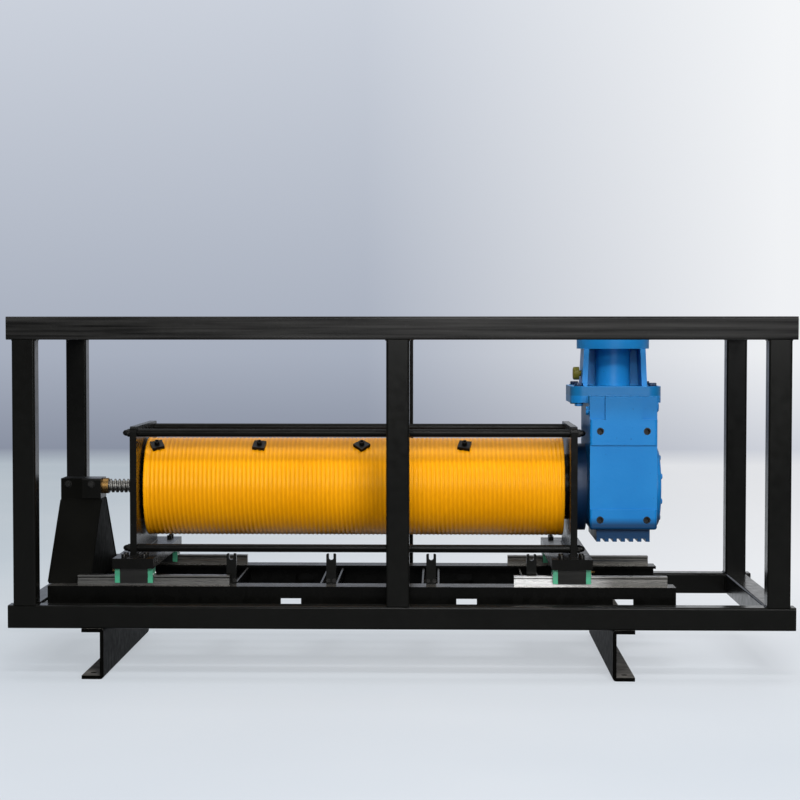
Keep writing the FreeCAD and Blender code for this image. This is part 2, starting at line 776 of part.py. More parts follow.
def bevel_gear(teeth, mate, turn, place):
    """Cone gear between two similar outlines, the smaller one nearer to where the two axes cross."""
    back = bevel_module * mate / 2
    outline = gear_outline(teeth, bevel_module, turn, math.atan2(teeth, mate))
    wires = []
    for scale in (1.0, 1.0 - bevel_face):
        points = [place(back * scale, r * scale, a) for r, a in outline]
        wires.append(Part.makePolygon([V(*p) for p in points + points[:1]]))
    return Part.makeLoft(wires, True, True)


def layshaft():
    """Shaft with the spur pinion cut in it."""
    solid = rod("x", gear_left_x + gear_wall, gear_right_x - gear_wall, shaft_r, (0, layshaft_z))
    half_tooth = math.pi / spur_pinion_teeth
    pinion = spur_gear(spur_pinion_teeth, layshaft_z, math.pi + half_tooth)
    return solid.fuse(pinion).removeSplitter()


def bevel_wheel():
    """Large cone gear on the layshaft, with its disc behind the teeth."""
    def place(depth, r, a):
        """Point on the wheel, depth measured along X from where the axes cross."""
        return (gear_x - depth, r * math.sin(a), layshaft_z + r * math.cos(a))
    solid = bevel_gear(bevel_wheel_teeth, bevel_pinion_teeth, math.pi / bevel_wheel_teeth, place)
    back = gear_x - bevel_module * bevel_pinion_teeth / 2
    lean = math.atan2(bevel_wheel_teeth, bevel_pinion_teeth)
    disc_r = bevel_module * (bevel_wheel_teeth / 2 - tooth_root_factor / math.cos(lean)) - seat_gap
    solid = solid.fuse(rod("x", back - bevel_disc, back, disc_r, (0, layshaft_z))).removeSplitter()
    return solid.cut(rod("x", back - bevel_disc - past, gear_x, shaft_r + seat_gap, (0, layshaft_z)))


def input_shaft():
    """Upright shaft: bevel pinion below, bored and keyed head for the motor's shaft above."""
    def place(depth, r, a):
        """Point on the pinion, depth measured up from where the axes cross."""
        return (gear_x - r * math.cos(a), r * math.sin(a), layshaft_z + depth)
    solid = bevel_gear(bevel_pinion_teeth, bevel_wheel_teeth, 0.0, place)
    head = motor_face_z - motor_spigot_depth
    solid = solid.fuse(rod("z", pinion_top_z - past, head - coupling_length + past, shaft_r, (gear_x, 0)))
    solid = solid.fuse(rod("z", head - coupling_length, head, coupling_r, (gear_x, 0))).removeSplitter()
    return solid.cut(rod("z", head - motor_shaft_depth, head + past, motor_shaft_r, (gear_x, 0)))


def output_wheel():
    """Hollow output shaft with the large spur gear."""
    solid = on_axis(gear_left_x + seat_gap, gear_right_x - seat_gap, hollow_r)
    solid = solid.fuse(spur_gear(spur_wheel_teeth, axis_z, 0.0)).removeSplitter()
    return solid.cut(on_axis(gear_left_x - past, gear_right_x + past, output_r + seat_gap))


def output_shaft():
    """Stepped shaft from the right hub through its bearing into the hollow shaft."""
    solid = on_axis(right_hub_x - 2 * hub_thickness, right_plate_outer, journal_r)
    end = gear_right_x + cover_length - cover_wall - shaft_room
    return solid.fuse(on_axis(right_plate_outer, end, output_r)).removeSplitter()


def lantern():
    """Motor lantern: two flanges joined by a round core, two tapering cheeks and a back wall."""
    spot = (gear_x, 0)
    solid = rounded_block(lantern_flange, lantern_flange_thickness, lantern_flange_corner)
    solid.translate(V(*spot, gear_top_z))
    solid = solid.fuse(rod("z", motor_flange_z, motor_face_z, motor_flange_r, spot))
    core_r = core_bore_r + core_wall
    solid = solid.fuse(rod("z", lantern_z, motor_flange_z, core_r, spot))
    reach = (lantern_half_top + lantern_half_bottom - lantern_cheek) / 2
    solid = solid.fuse(box((gear_x - reach, gear_x + reach), (core_r - lantern_wall, core_r),
                           (lantern_z, motor_flange_z)))
    for way in (-1, 1):
        outer = [(lantern_half_bottom, lantern_z), (lantern_half_top, motor_flange_z)]
        inner = [(half - lantern_cheek, z) for half, z in reversed(outer)]
        outline = [(gear_x + way * a, -lantern_cheek_half, z) for a, z in outer + inner]
        cheek = polygon(outline).extrude(V(0, 2 * lantern_cheek_half, 0))
        solid = solid.fuse(cheek.common(rod("z", lantern_z, motor_flange_z, lantern_flange / 2, spot)))
    solid = solid.removeSplitter()
    solid = solid.cut(rod("z", motor_face_z - motor_spigot_depth, motor_face_z + past, motor_spigot_r, spot))
    solid = solid.cut(rod("z", lantern_z, motor_face_z, core_bore_r, spot))
    solid = solid.cut(rod("z", gear_top_z - past, lantern_z + past, small_bearing_r + seat_gap, spot))
    for k in range(4):
        a = math.pi * (k + 0.5) / 2
        hole = (gear_x + motor_pcd / 2 * math.cos(a), motor_pcd / 2 * math.sin(a))
        solid = solid.cut(rod("z", motor_flange_z - past, motor_face_z + past, motor_hole_r, hole))
    return solid.cut(rod("x", *breather_seat(), breather_stem_r + seat_gap, (0, breather_z)))


def breather_seat():
    """Start and end of the breather's hole, measured along X into the left cheek."""
    share = (breather_z - lantern_z) / lantern_height
    face = gear_x - lantern_half_bottom + share * (lantern_half_bottom - lantern_half_top)
    return (face - breather_stem, face + breather_stem)


def breather():
    """Round breather screwed into the lantern's left cheek."""
    face = sum(breather_seat()) / 2
    cap = rod("x", face - breather_length, face - breather_length / 4, breather_r, (0, breather_z))
    rim = [e for e in cap.Edges if e.BoundBox.XMax < face - breather_length + tiny]
    cap = cap.makeFillet(breather_r / 4, rim)
    stem = rod("x", face - breather_length / 4, face + breather_stem, breather_stem_r, (0, breather_z))
    return cap.fuse(stem)


os.makedirs("parts", exist_ok=True)

frame_tubes()
save("left_skid", skid(-frame_length / 2 + left_skid_inset, -1))
save("right_skid", skid(frame_length / 2 - right_skid_inset, 1))
save("front_base_beam", base_beam(-1))
save("back_base_beam", base_beam(1))
cross_first_x = fork_first_x - cross_lead
save("cross_members", *[cross_member(cross_first_x + i * cross_pitch) for i in range(fork_count)])
for number, fork_x in enumerate(fork_places(), 1):
    save(f"rope_fork_{number}", rope_fork(fork_x))
linear_guides()
save("pedestal", pedestal())
save("screw_block", screw_block())
save("lead_screw", lead_screw())
save("screw_collar", screw_collar())

save("left_foot_plate", foot_plate(left_block_x))
save("right_foot_plate", foot_plate(right_block_x))
save("left_end_plate", end_plate(left_plate_x))
save("right_end_plate", end_plate(right_plate_x))
tie_rods()
save("left_bearing_housing", bearing_sleeve(left_plate_inner, 1))
save("right_bearing_housing", bearing_sleeve(right_plate_x, -1))
save("drum_bearings", drum_bearing(left_plate_inner, 1), drum_bearing(right_plate_x, -1))
save("gear_flange", gear_flange())
save("gear_housing", gear_housing())
save("gear_cover", gear_cover())
save("gear_bearings", *gear_bearings())
save("motor_lantern", lantern())
save("breather", breather())

save("drum_shell", drum_shell())
save("drum_left_hub", left_hub())
save("drum_right_hub", right_hub())
save("screw_nut", screw_nut())
save("output_shaft", output_shaft())
save("output_wheel", output_wheel())
save("rope_clamps", *rope_clamps())

save("layshaft", layshaft())
save("bevel_wheel", bevel_wheel())
save("input_shaft", input_shaft())
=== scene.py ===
# %% [markdown]
# # A stage winch, dressed for its picture
# The solids of the winch come in as a fixed frame, in metres, with every node where it belongs. This lesson
# paints those nodes, and adds what solids leave out: rope grooves, screw threads, nuts, bolts and welds.
# Places are read from the boxes of the nodes wherever they can be, so what is added fits what is there.

# %% Load the frame
import math

import bmesh
import bpy
import numpy as np
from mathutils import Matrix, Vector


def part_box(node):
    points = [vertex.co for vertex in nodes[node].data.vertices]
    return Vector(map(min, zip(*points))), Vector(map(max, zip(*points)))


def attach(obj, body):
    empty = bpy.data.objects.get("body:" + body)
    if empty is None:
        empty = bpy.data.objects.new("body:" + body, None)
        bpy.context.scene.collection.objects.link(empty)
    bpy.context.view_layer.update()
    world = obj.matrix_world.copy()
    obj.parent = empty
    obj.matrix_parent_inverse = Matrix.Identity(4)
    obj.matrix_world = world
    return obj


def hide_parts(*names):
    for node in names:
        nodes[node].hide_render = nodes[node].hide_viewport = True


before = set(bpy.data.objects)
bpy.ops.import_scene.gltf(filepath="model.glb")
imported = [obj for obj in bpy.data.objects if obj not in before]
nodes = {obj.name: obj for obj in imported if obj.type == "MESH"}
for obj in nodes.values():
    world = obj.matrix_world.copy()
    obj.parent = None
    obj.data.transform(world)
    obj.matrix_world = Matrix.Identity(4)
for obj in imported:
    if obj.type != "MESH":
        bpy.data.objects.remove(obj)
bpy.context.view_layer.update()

# %% [markdown]
# The camera stands where the photographer stood. It could be moved by eye until the outlines meet, but
# fitting the frame's corners to the picture is surer. That was done once, so its place, turn and lens are
# plain numbers here. A small lens shift moves the picture's middle off the lens axis without turning the
# camera, which keeps upright posts upright.

# %% Camera
camera_place = (0.0833, -4.920, 0.7441)
camera_pitch = 87.536
camera_yaw = 1.627
focal_pixels = 2126.0
picture_pixels = 800.0
middle_from_axis = (21.5, 27.0)


def new_object(name, data):
    """Object that shows the data, linked to the scene."""
    made = bpy.data.objects.new(name, data)
    bpy.context.scene.collection.objects.link(made)
    return made


camera = bpy.data.cameras.new("camera")
camera.sensor_width = 36.0
camera.lens = camera.sensor_width * focal_pixels / picture_pixels
camera.shift_x = middle_from_axis[0] / picture_pixels
camera.shift_y = middle_from_axis[1] / picture_pixels
camera_object = new_object("camera", camera)
camera_object.location = camera_place
camera_object.rotation_euler = (math.radians(camera_pitch), 0.0, math.radians(camera_yaw))
bpy.context.scene.camera = camera_object
bpy.context.scene.view_settings.view_transform = "Standard"
print("camera with a lens of", round(camera.lens, 1), "mm")

# %% [markdown]
# Paint and metal are never quite even: the tone drifts, the shine wanders and the surface has a grain. Image
# textures could show that, but they need unwrapping and they repeat. Noise on Object coordinates needs
# neither, so every finish here mixes two close tones by noise, lets the roughness wander a little and adds a
# fine bump. Small helpers keep each finish down to a few lines.

# %% Noise and ranges
def start_finish(name):
    """New material with its node tree and its Principled shader."""
    material = bpy.data.materials.new(name)
    material.use_nodes = True
    tree = material.node_tree
    return material, tree, tree.nodes["Principled BSDF"]


def grain(tree, size, stretch=(1.0, 1.0, 1.0), detail=3.0):
    """Noise with grains about size metres wide, each axis lengthened by its stretch."""
    where = tree.nodes.new("ShaderNodeTexCoord")
    place = tree.nodes.new("ShaderNodeMapping")
    place.inputs["Scale"].default_value = [1.0 / s for s in stretch]
    noise = tree.nodes.new("ShaderNodeTexNoise")
    noise.inputs["Scale"].default_value = 1.0 / size
    noise.inputs["Detail"].default_value = detail
    tree.links.new(where.outputs["Object"], place.inputs["Vector"])
    tree.links.new(place.outputs["Vector"], noise.inputs["Vector"])
    return noise.outputs["Fac"]


def spread(tree, source, low, high, start=0.3, end=0.7):
    """Stretch a value so that start to end becomes low to high."""
    node = tree.nodes.new("ShaderNodeMapRange")
    node.inputs["From Min"].default_value = start
    node.inputs["From Max"].default_value = end
    node.inputs["To Min"].default_value = low
    node.inputs["To Max"].default_value = high
    tree.links.new(source, node.inputs["Value"])
    return node.outputs["Result"]


print("helpers made: start_finish, grain, spread")

# %% Tones and relief
def blend_tones(tree, factor, first, second):
    """Mix two tones, each a colour or the output of another node."""
    node = tree.nodes.new("ShaderNodeMix")
    node.data_type = "RGBA"
    tree.links.new(factor, node.inputs[0])
    for socket, tone in ((node.inputs[6], first), (node.inputs[7], second)):
        if isinstance(tone, tuple):
            socket.default_value = (*tone, 1.0)
        else:
            tree.links.new(tone, socket)
    return node.outputs[2]


def relief(tree, shader, height, depth):
    """Bump the surface by a height whose full range is depth metres."""
    node = tree.nodes.new("ShaderNodeBump")
    node.inputs["Strength"].default_value = 1.0
    node.inputs["Distance"].default_value = depth
    tree.links.new(height, node.inputs["Height"])
    tree.links.new(node.outputs["Normal"], shader.inputs["Normal"])


print("helpers made: blend_tones, relief")

# %% Directions and sums
def axes_of(tree, vector="Object"):
    """X, Y and Z of the Object coordinates, or of another vector, as separate values."""
    where = tree.nodes.new("ShaderNodeTexCoord")
    parts = tree.nodes.new("ShaderNodeSeparateXYZ")
    tree.links.new(where.outputs[vector], parts.inputs["Vector"])
    return parts.outputs


def facing_up(tree, most):
    """Value that grows from none on walls to most on faces that look up, for dust and a painted sheen."""
    return spread(tree, axes_of(tree, "Normal")["Z"], low=0.0, high=most, start=0.5, end=1.0)


def combine(tree, operation, first, second):
    """One value worked out from two others."""
    node = tree.nodes.new("ShaderNodeMath")
    node.operation = operation
    tree.links.new(first, node.inputs[0])
    tree.links.new(second, node.inputs[1])
    return node.outputs["Value"]


print("helpers made: axes_of, facing_up, combine")

# %% [markdown]
# Paints come first. One function makes them all, because they differ only in tone, shine, bump, dirt and
# painted light and shade, and a tree drawn by hand for each would hide that. Thin paint on a tube is nearly
# flat, while enamel on cast iron has a coarser bump.

# %% Paint
def paint(name, tone, second_tone, rough, peel_size, peel_depth, specular=0.5, dust_and_sheen=0.0,
          dust_and_sheen_tone=(0.2, 0.19, 0.17), shade_and_chip_tone=None, shade_heights=(0.322, 0.338), patch_size=0.12,
          patch_stretch=(1.0, 1.0, 1.0)):
    """Paint of two close tones with an orange-peel bump, and dust, painted sheen, painted shade and chips
    where asked for.

    Dust lies on what faces up, and on some paints a painted sheen with it. Painted shade covers what lies
    below the lower of the shade heights and fades out at the upper one, and its tone also shows in chips.
    """
    material, tree, shader = start_finish(name)
    patches = grain(tree, patch_size, patch_stretch)
    colour = blend_tones(tree, spread(tree, patches, low=0.0, high=1.0), tone, second_tone)
    # Dust on what faces up, and on the beams and skids a painted sheen there as well.
    if dust_and_sheen:
        cloudy = spread(tree, grain(tree, size=0.03, detail=6.0), low=0.4, high=1.0)
        upward_coat = combine(tree, "MULTIPLY", facing_up(tree, dust_and_sheen), cloudy)
        colour = blend_tones(tree, upward_coat, colour, dust_and_sheen_tone)
    # Painted shade below the lower height, in the same dark tone as the chips.
    if shade_and_chip_tone:
        low_down = spread(tree, axes_of(tree)["Z"], 1.0, 0.0, *shade_heights)
        colour = blend_tones(tree, low_down, colour, shade_and_chip_tone)
        chips = spread(tree, grain(tree, size=0.007), low=0.0, high=0.7, start=0.70, end=0.76)
        colour = blend_tones(tree, chips, colour, shade_and_chip_tone)
    tree.links.new(colour, shader.inputs["Base Color"])
    wander = spread(tree, grain(tree, size=0.02, detail=5.0), low=rough - 0.05, high=rough + 0.07)
    tree.links.new(wander, shader.inputs["Roughness"])
    shader.inputs["Specular IOR Level"].default_value = specular
    relief(tree, shader, grain(tree, peel_size, detail=2.0), peel_depth)
    return material


print("helper made: paint")

# %% [markdown]
# The frame wears a satin black that hardly shines head on, yet mirrors the room on faces seen at a low angle.
# A low specular level with a fairly small roughness gives both. Grey streaks along the top rails are a
# painted reflection. The stand has a duller coat. The beams and skids are a darker black that paints their
# shade, and what faces up on them carries dust and a painted sheen.

# %% Blacks
# Pale tone for dust and for a painted sheen on the upward faces of the beams and skids.
pale_dust_and_sheen = (0.30, 0.285, 0.26)
# The two darkest blacks are painted shade on the beams, cross members and skids.
shade_black = (0.0012, 0.0012, 0.0010)
shade_second_black = (0.0022, 0.0022, 0.0019)
black_paint = paint("satin_black_paint", (0.0032, 0.0032, 0.0027), (0.0046, 0.0046, 0.0040), rough=0.20,
                    peel_size=0.006, peel_depth=0.000008, specular=0.06, dust_and_sheen=0.008)
# The grey streaks of the top rails are a painted reflection, in the second tone.
painted_sheen_black = paint("painted_sheen_black_paint", (0.0008, 0.0008, 0.0007), (0.027, 0.0265, 0.0255), rough=0.22,
                     peel_size=0.006, peel_depth=0.00001, specular=0.05, dust_and_sheen=0.008, patch_size=0.010,
                     patch_stretch=(36.0, 1.0, 1.0))
plate_black = paint("black_plate_paint", (0.0030, 0.0030, 0.0026), (0.0046, 0.0045, 0.0040), rough=0.24,
                    peel_size=0.005, peel_depth=0.000012, specular=0.045, dust_and_sheen=0.015)
stand_black = paint("rough_black_paint", (0.0026, 0.0026, 0.0022), (0.0042, 0.0042, 0.0036), rough=0.5,
                    peel_size=0.004, peel_depth=0.00001, specular=0.008, dust_and_sheen=0.004)
skid_black = paint("dust_and_sheen_black_paint", shade_black, shade_second_black, rough=0.45, peel_size=0.004,
                   peel_depth=0.00001, specular=0.008, dust_and_sheen=0.55, dust_and_sheen_tone=pale_dust_and_sheen)
beam_black = paint("beam_black_paint", shade_black, shade_second_black, rough=0.26, peel_size=0.005,
                   peel_depth=0.00001, specular=0.035, dust_and_sheen=0.14, dust_and_sheen_tone=pale_dust_and_sheen)
print("materials so far:", len(bpy.data.materials))

# %% [markdown]
# The gear unit has a blue enamel over cast iron, chipped here and there, with painted shade at its foot. The
# lantern on top of it is a lighter copy of the enamel that paints the light on it, with painted shade on its
# lower flange, and the flange against the end plate is a dark copy that paints its shade, so dark that it
# hardly looks blue. All three come from the same function as the blacks.

# %% Blues
blue_dust = (0.16, 0.32, 0.5)
# A dark copy of the enamel that paints the shade on the gear flange, also worn by the lantern bolts.
shaded_flange_blue = paint("painted_shade_blue_enamel", (0.002, 0.014, 0.045), (0.003, 0.022, 0.065), rough=0.4,
                    peel_size=0.006, peel_depth=0.0001, specular=0.2)
# The gear unit's foot is darkened as painted shade, and the same dark tone shows in chips.
blue_enamel = paint("blue_enamel", (0.004, 0.15, 0.42), (0.010, 0.182, 0.47), rough=0.36, peel_size=0.006,
                    peel_depth=0.00018, specular=0.12, dust_and_sheen=0.04, dust_and_sheen_tone=blue_dust,
                    shade_and_chip_tone=(0.003, 0.035, 0.10))
# A lighter copy of the enamel that paints light on the lantern; its darker lower flange is painted shade.
lit_lantern_blue = paint("painted_light_lantern_enamel", (0.008, 0.19, 0.50), (0.015, 0.22, 0.55), rough=0.36,
                     peel_size=0.006, peel_depth=0.00018, specular=0.16, dust_and_sheen=0.04, dust_and_sheen_tone=blue_dust,
                     shade_and_chip_tone=(0.005, 0.115, 0.28), shade_heights=(0.6275, 0.6295))
print("materials with the blues:", len(bpy.data.materials))

# %% [markdown]
# The drum's yellow darkens towards the bottoms of the grooves. A striped texture could fake that, but it
# would slip against the real grooves. The grooved mesh carries an attribute instead, 0 on the lands and 1 at
# the bottom of a groove, so the finish follows the helix at any angle.

# %% Drum yellow
def drum_enamel(name):
    """Glossy yellow with darker groove bottoms and fine streaks of shine that run round the drum."""
    material, tree, shader = start_finish(name)
    patches = spread(tree, grain(tree, size=0.2), low=0.0, high=1.0)
    tone = blend_tones(tree, patches, (0.76, 0.30, 0.0012), (0.85, 0.355, 0.003))
    groove = tree.nodes.new("ShaderNodeAttribute")
    groove.attribute_name = "groove"
    # Darker towards the bottoms of the grooves.
    deeper_share = spread(tree, groove.outputs["Fac"], low=0.0, high=0.4, start=0.1, end=1.0)
    tone = blend_tones(tree, deeper_share, tone, (0.50, 0.17, 0.001))
    tree.links.new(tone, shader.inputs["Base Color"])
    streaks = grain(tree, size=0.01, stretch=(0.4, 4.0, 4.0), detail=4.0)
    tree.links.new(spread(tree, streaks, low=0.28, high=0.40), shader.inputs["Roughness"])
    shader.inputs["Specular IOR Level"].default_value = 0.21
    shader.inputs["Specular Tint"].default_value = (1.0, 0.86, 0.30, 1.0)
    relief(tree, shader, grain(tree, size=0.003, detail=2.0), depth=0.00003)
    return material


drum_yellow = drum_enamel("drum_yellow_enamel")
hub_yellow = paint("hub_yellow", (0.80, 0.33, 0.004), (0.88, 0.39, 0.006), rough=0.35, peel_size=0.004,
                   peel_depth=0.00008)
print("yellows made:", drum_yellow.name, hub_yellow.name)

# %% [markdown]
# Bare metals next. The guide rails are ground along their length, the back ones oily, and a brighter stretch
# over the front ones is a painted reflection. Screw and shafts are turned steel, nuts, bolts and blocks are
# blackened, and the lock collar is bronze. One stretched noise gives the scratches and lets the shine wander
# with them.

# %% Metals
def metal(name, tone, second_tone, rough, stretch=(1.0, 1.0, 1.0), reflection_tone=None, reflection_from=None,
          reflection_to=None):
    """Metal with two close tones and fine scratches, both lengthened by the stretch.

    A last tone, a painted reflection, fades in along X over the first range and out again over the second.
    """
    material, tree, shader = start_finish(name)
    shader.inputs["Metallic"].default_value = 1.0
    patches = spread(tree, grain(tree, size=0.03, stretch=stretch, detail=5.0), low=0.0, high=1.0)
    colour = blend_tones(tree, patches, tone, second_tone)
    # Painted reflection: a brighter tone over a stretch along X.
    if reflection_tone:
        along = axes_of(tree)["X"]
        begun = spread(tree, along, 0.0, 1.0, *reflection_from)
        remaining = spread(tree, along, 1.0, 0.0, *reflection_to)
        colour = blend_tones(tree, combine(tree, "MULTIPLY", begun, remaining), colour, reflection_tone)
    tree.links.new(colour, shader.inputs["Base Color"])
    scratches = grain(tree, size=0.0012, stretch=stretch, detail=4.0)
    wander = spread(tree, scratches, low=rough - 0.08, high=rough + 0.1)
    tree.links.new(wander, shader.inputs["Roughness"])
    relief(tree, shader, scratches, depth=0.00002)
    return material


along_x = (30.0, 1.0, 1.0)
# The brighter stretch on the front rails is a painted reflection.
ground_steel = metal("ground_steel", (0.08, 0.077, 0.070), (0.135, 0.129, 0.120), rough=0.30, stretch=along_x,
                     reflection_tone=(0.50, 0.49, 0.475), reflection_from=(0.10, 0.20), reflection_to=(0.35, 0.47))
oiled_steel = metal("oiled_steel", (0.06, 0.057, 0.051), (0.10, 0.096, 0.088), rough=0.32, stretch=along_x)
screw_steel = metal("screw_steel", (0.13, 0.125, 0.115), (0.20, 0.195, 0.18), rough=0.40,
                    stretch=(1.0, 6.0, 6.0))
shaft_steel = metal("shaft_steel", (0.45, 0.45, 0.45), (0.55, 0.55, 0.54), rough=0.3)
black_steel = metal("blackened_steel", (0.010, 0.010, 0.0095), (0.020, 0.0195, 0.0185), rough=0.40,
                    stretch=(8.0, 1.0, 1.0))
bronze = metal("bronze", (0.13, 0.074, 0.025), (0.20, 0.115, 0.038), rough=0.42, stretch=(1.0, 5.0, 5.0))
print("materials with the metals:", len(bpy.data.materials))

# %% [markdown]
# Moulded plastic takes the grain of its mould, which is spark-eroded: very fine and the same all over. The
# green caps of the guide blocks, the breather and the tube plugs are plastic, and a fine bump without any
# stretch sets them apart from the metals.

# %% Plastics
def plastic(name, tone, second_tone, rough, specular=0.5):
    """Moulded plastic with a fine spark-eroded grain."""
    material, tree, shader = start_finish(name)
    colour = blend_tones(tree, spread(tree, grain(tree, size=0.01), low=0.0, high=1.0), tone, second_tone)
    tree.links.new(colour, shader.inputs["Base Color"])
    wander = spread(tree, grain(tree, size=0.002), low=rough - 0.06, high=rough + 0.06)
    tree.links.new(wander, shader.inputs["Roughness"])
    shader.inputs["Specular IOR Level"].default_value = specular
    relief(tree, shader, grain(tree, size=0.0007, detail=1.0), depth=0.00005)
    return material


green_plastic = plastic("green_end_cap", (0.02, 0.24, 0.125), (0.03, 0.30, 0.16), rough=0.40)
breather_plastic = plastic("breather_yellow", (0.105, 0.095, 0.005), (0.14, 0.125, 0.008), rough=0.45,
                           specular=0.2)
plug_plastic = plastic("black_plug", (0.010, 0.010, 0.010), (0.016, 0.016, 0.016), rough=0.5)
print("materials in all:", len(bpy.data.materials))

# %% [markdown]
# Each node of the frame takes one finish, also those that only show from behind or below. A list of nodes
# for each finish is shorter than a line for each node, and groups such as the tubes are picked by the ends
# of their names. A later line may repaint a node of an earlier group, as it does for the two top rails.

# %% Dress the nodes
def dress(names, finish):
    """Give one finish to the named nodes."""
    for name in names:
        nodes[name].data.materials.clear()
        nodes[name].data.materials.append(finish)


tubes = [name for name in nodes if name.endswith(("_rail", "_post"))]
blocks = [name for name in nodes if name.endswith("_guide_block")]
forks = [name for name in nodes if name.startswith("rope_fork")]
plate_kinds = ("foot_plate", "end_plate", "bearing_housing")
plates = [f"{side}_{kind}" for side in ("left", "right") for kind in plate_kinds]
dress(tubes + forks, black_paint)
dress(["front_top_rail", "back_top_rail"], painted_sheen_black)
dress(["front_base_beam", "back_base_beam", "cross_members"], beam_black)
dress(["left_skid", "right_skid"], skid_black)
dress(["pedestal"], stand_black)
dress(plates + ["tie_rods", "screw_block"], plate_black)
dress(blocks + ["dome_nuts", "rope_clamps"], black_steel)
dress(["front_guide_rails"], ground_steel)
dress(["back_guide_rails"], oiled_steel)
dress(["guide_block_caps"], green_plastic)
dress(["gear_housing", "gear_cover"], blue_enamel)
dress(["motor_lantern"], lit_lantern_blue)
dress(["gear_flange"], shaded_flange_blue)
dress(["breather"], breather_plastic)
dress(["tube_plugs"], plug_plastic)
dress(["drum_shell", "drum_left_hub", "drum_right_hub"], hub_yellow)
dress(["lead_screw"], screw_steel)
dress(["screw_collar", "screw_nut"], bronze)
dress(["drum_bearings", "gear_bearings", "output_shaft", "output_wheel"], shaft_steel)
dress(["layshaft", "bevel_wheel", "input_shaft"], shaft_steel)
finishes_used = {node.data.materials[0].name for node in nodes.values()}
print(len(nodes), "nodes dressed in", len(finishes_used), "finishes")

# %% [markdown]
# New pieces are grids of points worked out as whole arrays. A grid has rows and columns, its faces join each
# point to its neighbours, and the last column wraps round to the first. Points that fall together, as at a
# pole, are merged, and edges sharper than an angle stay sharp. Modifiers could turn a profile too, but arrays
# give the whole shape at once, and a formula can be read.

# %% Mesh pieces
def grid_faces(rows, columns):
    """Four-cornered faces of a grid whose last column joins its first."""
    i, j = np.meshgrid(np.arange(rows - 1), np.arange(columns), indexing="ij")
    after = (j + 1) % columns
    corners = (i * columns + j, i * columns + after, (i + 1) * columns + after, (i + 1) * columns + j)
    return np.stack(corners, axis=-1).reshape(-1, 4)


def add_piece(name, points, faces, body, finish, slot, sharp=35.0):
    """Make a mesh piece, merge its doubles, paint it and let it ride on a body."""
    mesh = bpy.data.meshes.new(name)
    mesh.from_pydata(np.asarray(points).reshape(-1, 3).tolist(), [], np.asarray(faces).tolist())
    work = bmesh.new()
    work.from_mesh(mesh)
    bmesh.ops.remove_doubles(work, verts=work.verts, dist=1e-6)
    bmesh.ops.dissolve_degenerate(work, edges=work.edges, dist=1e-7)
    work.to_mesh(mesh)
    work.free()
    mesh.shade_smooth()
    mesh.set_sharp_from_angle(angle=math.radians(sharp))
    mesh.materials.append(finish)
    piece = new_object(name, mesh)
    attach(piece, body)
    print(name, "with", len(mesh.polygons), "faces")
    return piece


print("faces of a grid with 3 rows and 4 columns:", len(grid_faces(3, 4)))

# %% Turned shapes
def turned(profile, sides=32, corners=0):
    """Profile of (radius, height, cornered) rows turned about Z.

    A row that is cornered has its radius divided by the cosine of the angle to the nearest flat, which
    makes a polygon with that radius to its flats; the others stay round.
    """
    radius, height, cornered = np.array(profile, float).T[:, :, None]
    angle = np.linspace(0.0, 2 * math.pi, sides, endpoint=False)
    reach = np.ones(sides)
    if corners:
        step = 2 * math.pi / corners
        reach = 1.0 / np.cos((angle + step / 2) % step - step / 2)
    r = radius * (1 + cornered * (reach - 1))
    points = np.stack((r * np.cos(angle), r * np.sin(angle), height + 0 * r), axis=-1)
    return points.reshape(-1, 3), grid_faces(len(profile), sides)


print("points of a plain turned tube:", len(turned([(1, 0, 0), (1, 1, 0)])[0]))

# %% Copies and boxes
def directions(axis):
    """Three unit directions at right angles: two across the axis, then the axis itself."""
    axis = np.array(axis, float) / np.linalg.norm(axis)
    helper = np.array((0.0, 0.0, 1.0)) if abs(axis[2]) < 0.9 else np.array((1.0, 0.0, 0.0))
    side = np.cross(helper, axis)
    side /= np.linalg.norm(side)
    return np.stack((side, np.cross(axis, side), axis))


def placed(points, faces, places, axis):
    """Copies of a piece built along Z, turned to the axis and set at each place."""
    places = np.array(places, float).reshape(-1, 1, 3)
    copies = points @ directions(axis) + places
    shifts = np.arange(len(places))[:, None, None] * len(points)
    return copies.reshape(-1, 3), (faces + shifts).reshape(-1, 4)


def joined(*pieces):
    """Several point and face arrays as one."""
    shifts = np.cumsum([0] + [len(points) for points, _ in pieces])
    points = np.concatenate([points for points, _ in pieces])
    faces = np.concatenate([faces + shift for (_, faces), shift in zip(pieces, shifts)])
    return points, faces


def box_of(node):
    """Lowest and highest corner of a node as arrays."""
    return tuple(np.array(corner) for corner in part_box(node))


print("helpers made: directions, placed, joined, box_of")

# %% [markdown]
# The rope drum is the heart of the winch. A right-handed groove runs round it from end to end, ten
# millimetres further for each turn, so the rope lies in one layer. Rings would be easier, but the groove
# has to climb. A sheared grid does that: its columns go round the drum while each row follows the helix,
# and the seam joins the last column to the first one a whole groove further along.

